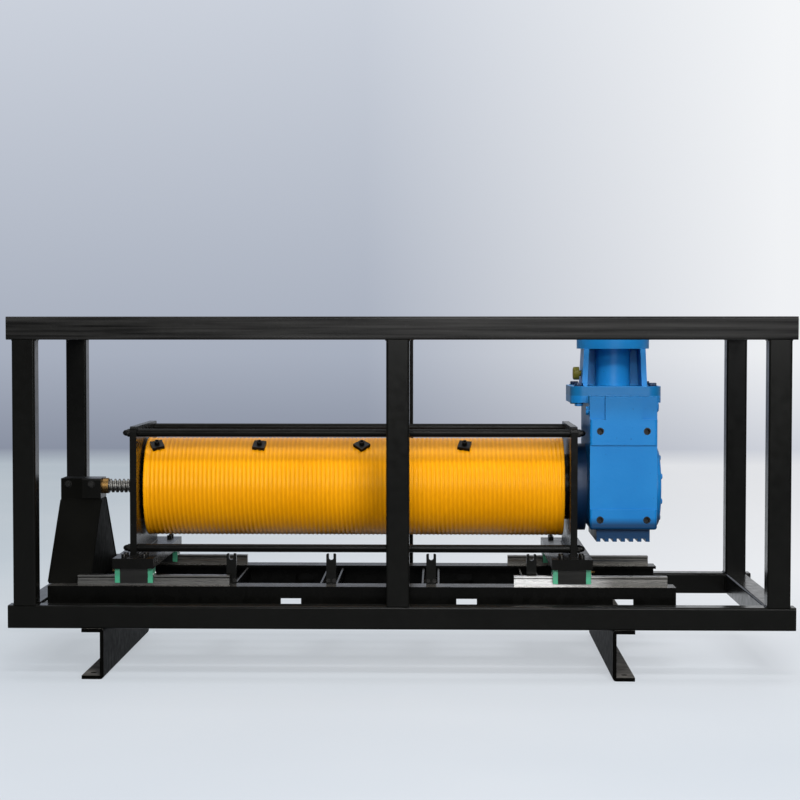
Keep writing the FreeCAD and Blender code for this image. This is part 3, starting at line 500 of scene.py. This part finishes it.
# %% Helix surface
def helix_bar(start, end, lead, steps, sides, depth_at, outer, inner):
    """Bar along X with a helical groove.

    Row s and angle a give x = s + lead * a / (2 pi). The radius is outer minus depth_at of the share of
    the lead, and it drops to inner where x is held at an end. An inner radius of zero closes the bar at
    its axis, and a larger one leaves a ring at each end for a bore.
    """
    rows = math.ceil((end - start) / lead + 1) * steps + 1
    s = start - lead + np.arange(rows)[:, None] * lead / steps
    angle = np.linspace(0.0, 2 * math.pi, sides, endpoint=False)[None, :]
    x = s + lead * angle / (2 * math.pi)
    depth = depth_at((np.arange(rows) % steps) / steps)[:, None] + 0 * angle
    held = (x <= start) | (x >= end)
    radius = np.where(held, inner, outer - depth)
    x = np.clip(x, start, end)
    points = np.stack((x, -radius * np.sin(angle), radius * np.cos(angle)), axis=-1)
    i, j = np.meshgrid(np.arange(rows - 1), np.arange(sides), indexing="ij")
    last = j == sides - 1
    across = np.where(last, np.minimum(i + steps, rows - 1), i)
    across_next = np.where(last, np.minimum(i + 1 + steps, rows - 1), i + 1)
    after = (j + 1) % sides
    corners = (across * sides + after, across_next * sides + after, (i + 1) * sides + j, i * sides + j)
    return points.reshape(-1, 3), np.stack(corners, axis=-1).reshape(-1, 4)


print("helper made: helix_bar")

# %% Sizes of the drum
drum_low, drum_high = box_of("drum_shell")
axis_z = (drum_low[2] + drum_high[2]) / 2
drum_r = (drum_high[2] - drum_low[2]) / 2
bore_r = 0.100
groove_pitch = 0.010
groove_depth = 0.0011
groove_half_share = 0.44
rim_width = 0.008
rim_overlap = 0.001
outer_edge = 0.0015
inner_edge = 0.001
bore_gap = 0.0005
drum_sides = 112
steps_per_groove = 8
drum_length = drum_high[0] - drum_low[0]
print("drum of radius", round(drum_r, 4), "m, long enough for", int(drum_length / groove_pitch), "grooves")

# %% Grooved drum
def rope_groove(share):
    """Groove with a narrow land: its depth falls off with the square of the way from its middle."""
    return groove_depth * np.clip(1 - ((share - 0.5) / groove_half_share) ** 2, 0.0, 1.0)


barrel_start = drum_low[0] + rim_width - rim_overlap
barrel_end = drum_high[0] - rim_width + rim_overlap
barrel_bore = bore_r + bore_gap
barrel = helix_bar(barrel_start, barrel_end, groove_pitch, steps_per_groove, drum_sides, rope_groove, drum_r,
                   barrel_bore)
bore_rows = [(barrel_bore, barrel_end, 0), (barrel_bore, barrel_start, 0)]
bore = placed(*turned(bore_rows, sides=drum_sides), [(0, 0, 0)], (1, 0, 0))
rim_rows = [(bore_r, 0, 0), (drum_r - outer_edge, 0, 0), (drum_r, outer_edge, 0),
            (drum_r, rim_width - inner_edge, 0), (drum_r - inner_edge, rim_width, 0), (bore_r, rim_width, 0),
            (bore_r, 0, 0)]
rim_places = [(drum_low[0], 0, 0), (drum_high[0] - rim_width, 0, 0)]
rims = placed(*turned(rim_rows, sides=drum_sides), rim_places, (1, 0, 0))
drum_points, drum_faces = joined(barrel, bore, rims)
drum_points = drum_points + np.array((0, 0, axis_z))
drum = add_piece("grooved_drum", drum_points, drum_faces, "drum", drum_yellow, "drum_yellow", sharp=60.0)
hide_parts("drum_shell")

# %% Hand the groove's depth to the finish
drum_corners = np.empty(len(drum.data.vertices) * 3)
drum.data.vertices.foreach_get("co", drum_corners)
drum_corners = drum_corners.reshape(-1, 3)
from_axis = np.hypot(drum_corners[:, 1], drum_corners[:, 2] - axis_z)
depth_shares = np.clip((drum_r - from_axis) / groove_depth, 0.0, 1.0)
depth_layer = drum.data.attributes.new("groove", "FLOAT", "POINT")
depth_layer.data.foreach_set("value", depth_shares.astype(np.float32))
print("groove attribute on", len(depth_shares), "points")

# %% [markdown]
# The fixed screw has the same lead as the groove, which is what keeps the rope in one place as the drum
# travels. Its thread is a trapezoid: a flat crest, two slopes and a flat root. A bump could draw it in the
# middle but not at the outline, so the same helix surface is used again with another depth.

# %% Threaded screw
screw_low, screw_high = box_of("lead_screw")
screw_r = (screw_high[2] - screw_low[2]) / 2
thread_depth = 0.0042
root_half_share = 0.17
slope_share = 0.14
screw_sides = 48
steps_per_thread = 16


def trapezoid(share):
    """Root round the middle of the lead and crest at its ends, with straight slopes between them."""
    return thread_depth * np.clip(1.0 - (np.abs(share - 0.5) - root_half_share) / slope_share, 0.0, 1.0)


screw, screw_faces = helix_bar(screw_low[0], screw_high[0], groove_pitch, steps_per_thread, screw_sides,
                               trapezoid, screw_r, inner=0.0)
screw = screw + np.array((0, 0, axis_z))
screw_piece = add_piece("threaded_screw", screw, screw_faces, "root", screw_steel, "screw_steel", sharp=25.0)
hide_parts("lead_screw")

# %% [markdown]
# Dome nuts close the ends of the tie rods, so that no thread sticks out to catch a rope. A cylinder with a
# ball on it would come near, but the real nut is a hexagon with a chamfer that runs into a round cap. One
# profile turned about the rod gives both, with its lower rows drawn out to six corners.

# %% Dome nuts
def dome_nut(flat_r, hexagon, length):
    """Six-sided base with chamfered corners under a cap whose outline is a quarter of an ellipse."""
    seat_edge = 0.0007
    top_edge = 0.0012
    shoulder = hexagon + 0.0004
    cap_r = flat_r * 0.93
    rise = np.linspace(0.0, math.pi / 2, 9)
    base = [(0.0, 0.0, 0), (flat_r * 0.96, 0.0, 0), (flat_r, seat_edge, 1), (flat_r, hexagon - top_edge, 1)]
    neck = [(flat_r * 1.02, hexagon - 0.0002, 0), (cap_r, shoulder, 0)]
    cap = np.stack((cap_r * np.cos(rise), shoulder + (length - shoulder) * np.sin(rise), 0 * rise), axis=-1)
    return turned(np.concatenate((base, neck, cap)), sides=48, corners=6)


rod_low, rod_high = box_of("tie_rods")
rod_r = 0.009
front, back = rod_low[1] + rod_r, rod_high[1] - rod_r
below, above = rod_low[2] + rod_r, rod_high[2] - rod_r
rod_spots = [(front, below), (front, above), (back, above)]
left_face = box_of("left_end_plate")[0][0]
right_face = box_of("right_end_plate")[1][0]
nut_length = left_face - box_of("dome_nuts")[0][0]
nut = dome_nut(flat_r=0.0078, hexagon=0.0085, length=nut_length)
nut_sets = [placed(*nut, [(face, y, z) for y, z in rod_spots], (way, 0, 0))
            for face, way in ((left_face, -1), (right_face, 1))]
nuts = add_piece("dome_nuts_turned", *joined(*nut_sets), "carriage", black_steel, "black_steel")
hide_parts("dome_nuts")

# %% [markdown]
# Bolts hold the rest. A hexagon head is a short turned profile with a washer under it, a socket screw is a
# round head with a six-sided hole sunk in it, and a button head is a low dome. Their proportions follow the
# size of the thread, as they do in a catalogue. Each list of places makes one piece, which keeps the number
# of objects small.

# %% Bolt shapes
def six_sided(rows):
    """Turned profile whose cornered rows become a hexagon."""
    return turned(rows, sides=36, corners=6)


def hexagon_head(size):
    """Washer and hexagon head with a chamfered top for a thread of that size."""
    flat_r = size * 0.83
    head = size * 0.64
    washer_r = size * 1.15
    washer = size * 0.16
    return six_sided([(0, 0, 0), (washer_r, 0, 0), (washer_r, washer, 0), (flat_r * 0.97, washer, 0),
                      (flat_r, washer * 1.3, 1), (flat_r, washer + head * 0.86, 1),
                      (flat_r * 0.97, washer + head, 0), (0, washer + head, 0)])


def socket_head(size):
    """Round head with a soft edge and a six-sided hole, a little over half its height deep."""
    r = size * 0.75
    hole = size * 0.42
    return six_sided([(0, 0, 0), (r, 0, 0), (r, size * 0.9, 0), (r * 0.93, size, 0), (hole * 1.12, size, 0),
                      (hole, size * 0.97, 1), (hole, size * 0.4, 1), (0, size * 0.36, 0)])


def button_head(size):
    """Low dome with a six-sided hole: its radius falls with a cosine while its height grows with a sine."""
    r = size * 0.95
    hole = size * 0.32
    rise = np.linspace(0.0, 1.0, 6)[:-1]
    dome = np.stack((r * np.cos(1.1 * rise), size * (0.12 + 0.42 * np.sin(1.4 * rise)), 0 * rise), axis=-1)
    foot = [(0, 0, 0), (r, 0, 0)]
    well = [(hole * 1.1, size * 0.52, 0), (hole, size * 0.49, 1), (hole, size * 0.22, 1), (0, size * 0.2, 0)]
    return six_sided(np.concatenate((foot, dome, well)))


print("points on a socket head:", len(socket_head(0.008)[0]))

# %% Bolts as pieces
blackened = (black_steel, "black_steel")
enamelled = (blue_enamel, "gear_blue")
four_ways = [(a, b) for a in (-1, 1) for b in (-1, 1)]


def add_bolts(name, shape, places, axis, body, finish, slot):
    """One piece of equal bolts that stand on their places and point along the axis."""
    add_piece(name, *placed(*shape, places, axis), body, finish, slot)


def ring_of(middle, r, count, first):
    """Places on a circle about the X direction, evenly spaced from the first angle in degrees."""
    a = np.radians(first) + np.arange(count) * 2 * math.pi / count
    return np.stack((0 * a + middle[0], middle[1] + r * np.sin(a), middle[2] + r * np.cos(a)), axis=-1)


print("helpers made: add_bolts, ring_of")

# %% [markdown]
# The lantern that carries the motor stands on the gear unit's top flange and is held at its four corners.
# The heads are on top, and nuts show under the overhang on the left. The round cover has eight button heads,
# and a hexagon plug closes the vent on one side and the filler on the other. All wear the enamel, because
# the unit was painted after it was put together.

# %% Bolts of the gear unit
lantern_low, lantern_high = box_of("motor_lantern")
gear_x = (lantern_low[0] + lantern_high[0]) / 2
lantern_flange = 0.021
top_flange = 0.016
bolt_inset = 0.020
flange_half = (lantern_high[0] - lantern_low[0]) / 2 - bolt_inset
bolt_spots = [(gear_x + a * flange_half, b * flange_half, lantern_low[2] + lantern_flange)
              for a, b in four_ways]
# The lantern bolts take the dark blue that paints shade.
add_bolts("lantern_bolts", hexagon_head(0.010), bolt_spots, (0, 0, 1), "carriage", shaded_flange_blue, "gear_blue")
nut_spots = [(gear_x - flange_half, b * flange_half, lantern_low[2] - top_flange) for b in (-1, 1)]
add_bolts("lantern_nuts", hexagon_head(0.010), nut_spots, (0, 0, -1), "carriage", *enamelled)
cover_low, cover_high = box_of("gear_cover")
cover_r = (cover_high[2] - cover_low[2]) / 2
screw_inset = 0.018
cover_spots = ring_of((cover_high[0], 0.0, axis_z), cover_r - screw_inset, count=8, first=22.5)
add_bolts("cover_screws", button_head(0.007), cover_spots, (1, 0, 0), "carriage", *enamelled)
left_side = box_of("gear_flange")[1][0]
right_side = cover_low[0]
vent_place = (right_side, -0.100, 0.583)
filler_place = (left_side, -0.150, 0.576)
add_bolts("vent_plug", hexagon_head(0.012), vent_place, (1, 0, 0), "carriage", *enamelled)
add_bolts("filler_plug", hexagon_head(0.010), filler_place, (-1, 0, 0), "carriage", *enamelled)

# %% [markdown]
# Four tapped holes in the front of the gear unit take a bracket. A dark lining inside each hole and round its
# mouth is painted shade. A dark finish on the hole's own faces would need the node's mesh to be changed, so a
# thin turned lining with a narrow rim gives that edge.

# %% Linings of the tapped holes
hole_r = 0.006
hole_half = (0.052, 0.099)
hole_middle_x = (left_side + right_side) / 2
hole_middle_z = 0.432
gear_front = box_of("gear_housing")[0][1]
lining = 0.0002
lining_depth = 0.014
rim_foot_r = 0.0083
rim_top_r = 0.0080
lining_rows = [(0, -lining_depth - lining, 0), (hole_r + lining, -lining_depth - lining, 0),
               (hole_r + lining, -lining, 0), (rim_foot_r, -lining, 0), (rim_top_r, lining, 0),
               (hole_r - lining, lining, 0), (hole_r - lining, -lining_depth, 0), (0, -lining_depth, 0)]
hole_spots = [(hole_middle_x + a * hole_half[0], gear_front, hole_middle_z + b * hole_half[1])
              for a, b in four_ways]
# The dark linings paint the shade inside each hole and round its mouth.
add_bolts("hole_shade_linings", turned(lining_rows, sides=36), hole_spots, (0, -1, 0), "carriage", *blackened)

# %% [markdown]
# The carriage runs on four guide blocks. Socket screws hold the foot plates down on the blocks, small button
# heads hold the green end caps, and a ring of screws holds the bearing sleeve in the left end plate. The
# places are worked out from the boxes of the blocks, so that screws follow a block that is moved.

# %% Places round the guide blocks
cap_length = 0.011
foot_half = (0.0225, 0.0175)
cap_screw_half = 0.0175
cap_screw_rise = 0.019
nipple_rise = 0.025
plug_start = -0.108
plug_pitch = 0.060
plug_count = 6
rail_top = box_of("front_guide_rails")[1][2]
foot_spots = []
cap_spots = {-1: [], 1: []}
nipple_spots = {-1: [], 1: []}
plug_spots = []
for side, way in (("left", -1), ("right", 1)):
    plate_top = box_of(f"{side}_foot_plate")[1][2]
    for row in ("front", "back"):
        low, high = box_of(f"{row}_{side}_guide_block")
        middle = (low + high) / 2
        cap_faces = {-1: low[0] - cap_length, 1: high[0] + cap_length}
        foot_spots += [(middle[0] + a * foot_half[0], middle[1] + b * foot_half[1], plate_top)
                       for a, b in four_ways]
        cap_screw_z = low[2] + cap_screw_rise
        for end, face in cap_faces.items():
            cap_spots[end] += [(face, middle[1] + b * cap_screw_half, cap_screw_z) for b in (-1, 1)]
        nipple_spots[way].append((cap_faces[way], middle[1], low[2] + nipple_rise))
        plug_x = middle[0] + plug_start + plug_pitch * np.arange(plug_count)
        plug_spots += [(x, middle[1], rail_top) for x in plug_x]
print("places for", len(foot_spots), "foot screws and", len(plug_spots), "rail plugs")

# %% Screws of the carriage
sleeve_ring_r = 0.066
add_bolts("foot_screws", socket_head(0.008), foot_spots, (0, 0, 1), "carriage", *blackened)
for end, word in ((-1, "left"), (1, "right")):
    add_bolts(f"{word}_cap_screws", button_head(0.003), cap_spots[end], (end, 0, 0), "carriage", shaft_steel,
              "shaft_steel")
sleeve_spots = ring_of((left_face, 0.0, axis_z), sleeve_ring_r, count=8, first=22.5)
add_bolts("sleeve_screws", socket_head(0.008), sleeve_spots, (-1, 0, 0), "carriage", *blackened)

# %% [markdown]
# Each guide block has a grease nipple on its outer end: a small hexagon, a waist and a ball, which is one
# turned profile. The rails are screwed down through holes that are closed with round plugs, nearly flush, so
# that the block's seal runs over them. A plug is a low disc with its edge broken.

# %% Nipples and rail plugs
nipple = six_sided([(0, 0, 0), (0.0036, 0, 1), (0.0036, 0.0030, 1), (0.0022, 0.0034, 0), (0.0018, 0.0046, 0),
                    (0.0018, 0.0052, 0), (0.0027, 0.0062, 0), (0.0030, 0.0072, 0), (0.0025, 0.0084, 0),
                    (0.0012, 0.0090, 0), (0, 0.0090, 0)])
for way, word in ((-1, "left"), (1, "right")):
    add_bolts(f"{word}_grease_nipples", nipple, nipple_spots[way], (way, 0, 0), "carriage", bronze, "bronze")
rail_plug = turned([(0, -0.0005, 0), (0.0052, -0.0005, 0), (0.0052, 0.00005, 0), (0.0048, 0.0001, 0),
                    (0, 0.0001, 0)], sides=24)
add_bolts("rail_plugs", rail_plug, plug_spots, (0, 0, 1), "root", *blackened)

# %% [markdown]
# Two small bolts show at the foot of each rope fork, one on the screw block and one on the head of the
# stand. A socket screw holds each rope clamp on the drum. The clamps sit in a row, turned from the top
# towards the front, so their screws stand on that line and point straight away from the drum's axis.

# %% Bolts of the forks, the screw block and the rope clamps
fork_bolt_half = 0.007
fork_bolt_rise = 0.007
fork_spots = []
for name in forks:
    low, high = box_of(name)
    fork_x = (low[0] + high[0]) / 2
    fork_spots += [(fork_x + a * fork_bolt_half, low[1], low[2] + fork_bolt_rise) for a in (-1, 1)]
add_bolts("fork_bolts", hexagon_head(0.0042), fork_spots, (0, -1, 0), "root", *blackened)
block_low, block_high = box_of("screw_block")
bolt_above_axis = 0.006
head_bolt_back = 0.032
stand_head_half = 0.036
block_spots = [((block_low[0] + block_high[0]) / 2, block_low[1], axis_z + bolt_above_axis),
               (block_low[0] - head_bolt_back, -stand_head_half, axis_z + bolt_above_axis)]
add_bolts("screw_block_bolts", hexagon_head(0.007), block_spots, (0, -1, 0), "root", *blackened)
clamp_lean = math.radians(32.0)
clamp_way = np.array((0.0, -math.sin(clamp_lean), math.cos(clamp_lean)))
clamp_start = 0.027
clamp_pitch = 0.235
clamp_top_r = 0.1188
clamp_x = drum_low[0] + clamp_start + clamp_pitch * np.arange(4)
clamp_spots = np.stack((clamp_x, 0 * clamp_x, 0 * clamp_x + axis_z), axis=-1) + clamp_way * clamp_top_r
add_bolts("clamp_bolts", socket_head(0.008), clamp_spots, clamp_way, "drum", *blackened)

# %% [markdown]
# The frame and the stand are welded, and a weld is a row of small scales laid one on the other. A bead is a
# thin tube along the seam, half sunk in both plates, whose radius rises and falls with each scale and closes
# at its ends. A plain rod would look like wire. Seams that would be ground flush get none.

# %% Weld beads
def bead(start, end, r):
    """Tube from start to end: radius r, closed by rounded ends, with a ripple for every scale."""
    start, end = np.array(start, float), np.array(end, float)
    length = np.linalg.norm(end - start)
    side, other_side, _ = directions(end - start)
    sides = 8
    scale_length = 0.003
    ripple_height = 0.16
    row_length = 0.0012
    end_length = 1.5 * r
    rows = max(17, int(length / row_length))
    t = np.linspace(0.0, 1.0, rows)[:, None]
    angle = np.linspace(0.0, 2 * math.pi, sides, endpoint=False)[None, :]
    near_end = np.minimum(t, 1 - t) * length / end_length
    close = np.sqrt(np.clip(1 - (1 - np.clip(near_end, 0.0, 1.0)) ** 2, 0.0, 1.0))
    ripple = 1 + ripple_height * np.abs(np.sin(math.pi * t * length / scale_length))
    radius = r * close * ripple
    round_side = np.cos(angle)[..., None] * side + np.sin(angle)[..., None] * other_side
    points = start + t[..., None] * (end - start) + radius[..., None] * round_side
    return points.reshape(-1, 3), grid_faces(rows, sides)


print("helper made: bead")

# %% Welds of the frame
frame_bead_r = 0.0024
frame_inset = 0.006
frame_beads = []
for name in tubes:
    low, high = box_of(name)
    inner_low, inner_high = low + frame_inset, high - frame_inset
    if name.endswith("_post"):
        frame_beads += [bead((x, inner_low[1], z), (x, inner_high[1], z), frame_bead_r)
                        for x in (low[0], high[0]) for z in (low[2], high[2])]
    elif name.startswith(("left", "right")):
        frame_beads += [bead((x, y, inner_low[2]), (x, y, inner_high[2]), frame_bead_r)
                        for x in (low[0], high[0]) for y in (low[1], high[1])]
add_piece("frame_welds", *joined(*frame_beads), "root", black_paint, "black_paint", sharp=80.0)

# %% Welds of the stand and the end plates
stand_bead_r = 0.0016
stand_inset = 0.003
stand_low, stand_high = box_of("pedestal")
stand_foot = stand_low[2] + stand_inset
shoulder = block_low[2] - stand_inset
stand_beads = [bead((x, y * stand_high[1], stand_foot), (x, y * stand_head_half, shoulder), stand_bead_r)
               for x in (stand_low[0], stand_high[0]) for y in (-1, 1)]
add_piece("stand_welds", *joined(*stand_beads), "root", stand_black, "black_paint", sharp=80.0)
plate_bead_r = 0.0028
plate_inset = 0.01
plate_beads = []
for side in ("left", "right"):
    low, high = box_of(f"{side}_end_plate")
    plate_beads += [bead((x, low[1] + plate_inset, low[2]), (x, high[1] - plate_inset, low[2]), plate_bead_r)
                    for x in (low[0], high[0])]
add_piece("plate_welds", *joined(*plate_beads), "carriage", plate_black, "black_paint", sharp=80.0)

# %% [markdown]
# Plastic plugs close the ends of the long tubes. A moulded plug has a softly crowned face and round corners,
# which a bevelled box shows only with many steps. Here the outline is a rounded square, the points where the
# eighth powers of both coordinates add up to a constant, and the face rises from the rim to the middle.

# %% Tube plugs
def crowned_plug(half, depth, crown):
    """Rounded square block along Z whose top falls from height zero with the fourth power of the way out."""
    sides = 48
    power = 8
    edge_drop = 0.0006
    angle = np.linspace(0.0, 2 * math.pi, sides, endpoint=False)
    outline = half / (np.abs(np.cos(angle)) ** power + np.abs(np.sin(angle)) ** power) ** (1 / power)
    share = np.array([0.0, 1.0, 1.0, 0.985, 0.94, 0.8, 0.6, 0.3, 0.0])[:, None]
    fall = np.where(share < 0.99, crown * share ** 4, crown + edge_drop)
    height = -fall + 0 * angle
    height[:2] = -depth
    r = share * outline
    points = np.stack((r * np.cos(angle), r * np.sin(angle), height), axis=-1)
    return points.reshape(-1, 3), grid_faces(len(share), sides)


end_spots = {-1: [], 1: []}
for name in tubes:
    if name.startswith(("front", "back")) and name.endswith("_rail"):
        low, high = box_of(name)
        middle = (low + high) / 2
        end_spots[-1].append((low[0], middle[1], middle[2]))
        end_spots[1].append((high[0], middle[1], middle[2]))
plug = crowned_plug(half=0.0219, depth=0.018, crown=0.0018)
plug_sets = [placed(*plug, end_spots[way], (way, 0, 0)) for way in (-1, 1)]
plugs = add_piece("crowned_plugs", *joined(*plug_sets), "root", plug_plastic, "plug_plastic")
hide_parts("tube_plugs")

# %% [markdown]
# The stage is a floor and a backdrop, as in a studio. To the camera and to shiny parts the floor glows a
# little, as lit paper does, but the light that it throws up at the winch has to stay low, or the drum would
# lose its dark underside. Light Path tells these rays apart, which no lamp can do.

# %% Sheets of the stage
far = 9.0
wide = 40.0
wall_height = 14.0


def stage_sheet(name, corners, finish):
    """Flat four-cornered sheet that belongs to the stage."""
    mesh = bpy.data.meshes.new(name)
    mesh.from_pydata(corners, [], [(0, 1, 2, 3)])
    mesh.materials.append(finish)
    sheet = new_object(name, mesh)
    print(name, "made")


print("stage", 2 * wide, "m wide, with its wall", far, "m behind the winch")

# %% Shaders of the stage
def seen_directly(tree):
    """One for rays from the camera, from shiny faces and through glass, none for scattered light."""
    path = tree.nodes.new("ShaderNodeLightPath")
    total = path.outputs["Is Camera Ray"]
    for ray in ("Is Glossy Ray", "Is Transmission Ray"):
        total = combine(tree, "MAXIMUM", total, path.outputs[ray])
    return total


def blend_shaders(tree, factor, first, second):
    """Mix two shaders by a factor, a number or the output of a node."""
    node = tree.nodes.new("ShaderNodeMixShader")
    if isinstance(factor, float):
        node.inputs["Fac"].default_value = factor
    else:
        tree.links.new(factor, node.inputs["Fac"])
    tree.links.new(first, node.inputs[1])
    tree.links.new(second, node.inputs[2])
    return node.outputs["Shader"]


def glow_of(tree, tone):
    """Emission of a tone at strength one."""
    node = tree.nodes.new("ShaderNodeEmission")
    tree.links.new(tone, node.inputs["Color"])
    return node.outputs["Emission"]


print("helpers made: seen_directly, blend_shaders, glow_of")

# %% [markdown]
# The wall behind the winch is grey-blue; its darker foot is painted shade, and its brighter right side, with
# the darker left, is painted light. A picture could be pasted on it, but three pairs of tones mixed by place
# make soft steps without an edge. The wall only glows, so no lamp puts a spot on it.

# %% Backdrop
def backdrop_tone(tree, axes):
    """Tones of the wall: dark at its foot as painted shade, paler upwards, and brighter towards the right as
    painted light.
    """
    middle_height = 0.62
    upper_height = 3.0
    across = spread(tree, axes["X"], low=0.0, high=1.0, start=-0.4, end=2.3)
    # The dark foot is painted shade, and the brighter right is painted light.
    foot = blend_tones(tree, across, (0.25, 0.28, 0.355), (0.62, 0.645, 0.705))
    middle = blend_tones(tree, across, (0.385, 0.425, 0.51), (0.86, 0.875, 0.90))
    upper = blend_tones(tree, across, (0.60, 0.64, 0.715), (0.90, 0.915, 0.935))
    low_rise = spread(tree, axes["Z"], low=0.0, high=1.0, start=0.0, end=middle_height)
    lower = blend_tones(tree, low_rise, foot, middle)
    high_rise = spread(tree, axes["Z"], low=0.0, high=1.0, start=middle_height, end=upper_height)
    return blend_tones(tree, high_rise, lower, upper)


back_finish, back_tree, back_shader = start_finish("soft_backdrop")
back_tree.nodes.remove(back_shader)
back_glow = glow_of(back_tree, backdrop_tone(back_tree, axes_of(back_tree)))
back_tree.links.new(back_glow, back_tree.nodes["Material Output"].inputs["Surface"])
wall_corners = [(-wide, far, 0), (wide, far, 0), (wide, far, wall_height), (-wide, far, wall_height)]
stage_sheet("backdrop", wall_corners, back_finish)

# %% [markdown]
# The floor is pale and keeps the winch's shadow: part of what the camera sees is lit paint, the rest glows.
# Far back it fades into the foot of the backdrop, which hides the corner. Scattered rays meet a dark floor
# instead, so that little light comes up from below.

# %% Floor
floor_finish, floor_tree, floor_shader = start_finish("pale_floor")
floor_axes = axes_of(floor_tree)
# Far back the floor is painted lighter towards the right: painted light, as on the wall.
rightward = spread(floor_tree, floor_axes["X"], low=0.0, high=1.0, start=-1.6, end=1.4)
far_tone = blend_tones(floor_tree, rightward, (0.53, 0.60, 0.66), (0.90, 0.91, 0.935))
backward = spread(floor_tree, floor_axes["Y"], low=0.0, high=1.0, start=-1.2, end=1.8)
even_tone = blend_tones(floor_tree, backward, (0.60, 0.645, 0.70), far_tone)
clouds = spread(floor_tree, grain(floor_tree, size=1.5), low=0.0, high=0.2)
floor_tone = blend_tones(floor_tree, clouds, even_tone, (0.84, 0.86, 0.88))
floor_tree.links.new(floor_tone, floor_shader.inputs["Base Color"])
floor_shader.inputs["Roughness"].default_value = 0.6
glow_share = 0.68
floor_glow = glow_of(floor_tree, floor_tone)
lit_floor = blend_shaders(floor_tree, glow_share, floor_shader.outputs["BSDF"], floor_glow)
near_wall = spread(floor_tree, floor_axes["Y"], low=0.0, high=1.0, start=7.3, end=9.1)
foot_glow = glow_of(floor_tree, backdrop_tone(floor_tree, floor_axes))
faded = blend_shaders(floor_tree, near_wall, lit_floor, foot_glow)
quiet = floor_tree.nodes.new("ShaderNodeBsdfDiffuse")
quiet.inputs["Color"].default_value = (0.06, 0.062, 0.066, 1.0)
whole = blend_shaders(floor_tree, seen_directly(floor_tree), quiet.outputs["BSDF"], faded)
floor_tree.links.new(whole, floor_tree.nodes["Material Output"].inputs["Surface"])
stage_sheet("floor", [(-wide, -wide, 0), (wide, -wide, 0), (wide, far, 0), (-wide, far, 0)], floor_finish)

# %% [markdown]
# Four soft lamps light the winch. The strongest stands beside the camera and a metre higher, which puts a
# broad band of shine above the middle of the drum and leaves its underside dark. A narrower one hangs high
# in front, a low one fills the shadows, and a ceiling panel lights the tops. The world adds a little light
# from all around, and more of it where a shiny face mirrors it.

# %% Lights
def soft_light(name, place, aim, width, height, power):
    """Rectangular lamp at a place, turned to an aim."""
    lamp = bpy.data.lights.new(name, "AREA")
    lamp.shape = "RECTANGLE"
    lamp.size = width
    lamp.size_y = height
    lamp.energy = power
    lamp_object = new_object(name, lamp)
    lamp_object.location = place
    way = np.array(aim) - np.array(place)
    yaw = math.atan2(way[1], way[0]) - math.pi / 2
    pitch = math.atan2(way[2], math.hypot(way[0], way[1]))
    lamp_object.rotation_euler = (math.pi / 2 + pitch, 0.0, yaw)


soft_light("key_light", (0.5, -3.9, 4.0), (0.0, 0.0, 0.4), width=1.6, height=0.6, power=120.0)
soft_light("front_light", (0.6, -5.2, 2.0), (0.0, 0.0, 0.4), width=2.6, height=1.3, power=208.0)
soft_light("fill_light", (0.7, -5.2, 0.95), (0.1, 0.0, 0.6), width=3.0, height=0.5, power=34.0)
soft_light("ceiling_light", (0.3, 0.2, 4.4), (0.3, 0.21, 0.0), width=4.5, height=2.6, power=105.0)
print("lamps:", [lamp.name for lamp in bpy.data.lights])

# %% World
world = bpy.data.worlds.new("room")
world.use_nodes = True
world_tree = world.node_tree
room = world_tree.nodes["Background"]
room.inputs["Color"].default_value = (0.80, 0.86, 0.95, 1.0)
strength = spread(world_tree, seen_directly(world_tree), low=0.06, high=0.5, start=0.0, end=1.0)
world_tree.links.new(strength, room.inputs["Strength"])
bpy.context.scene.world = world
print("world:", world.name)
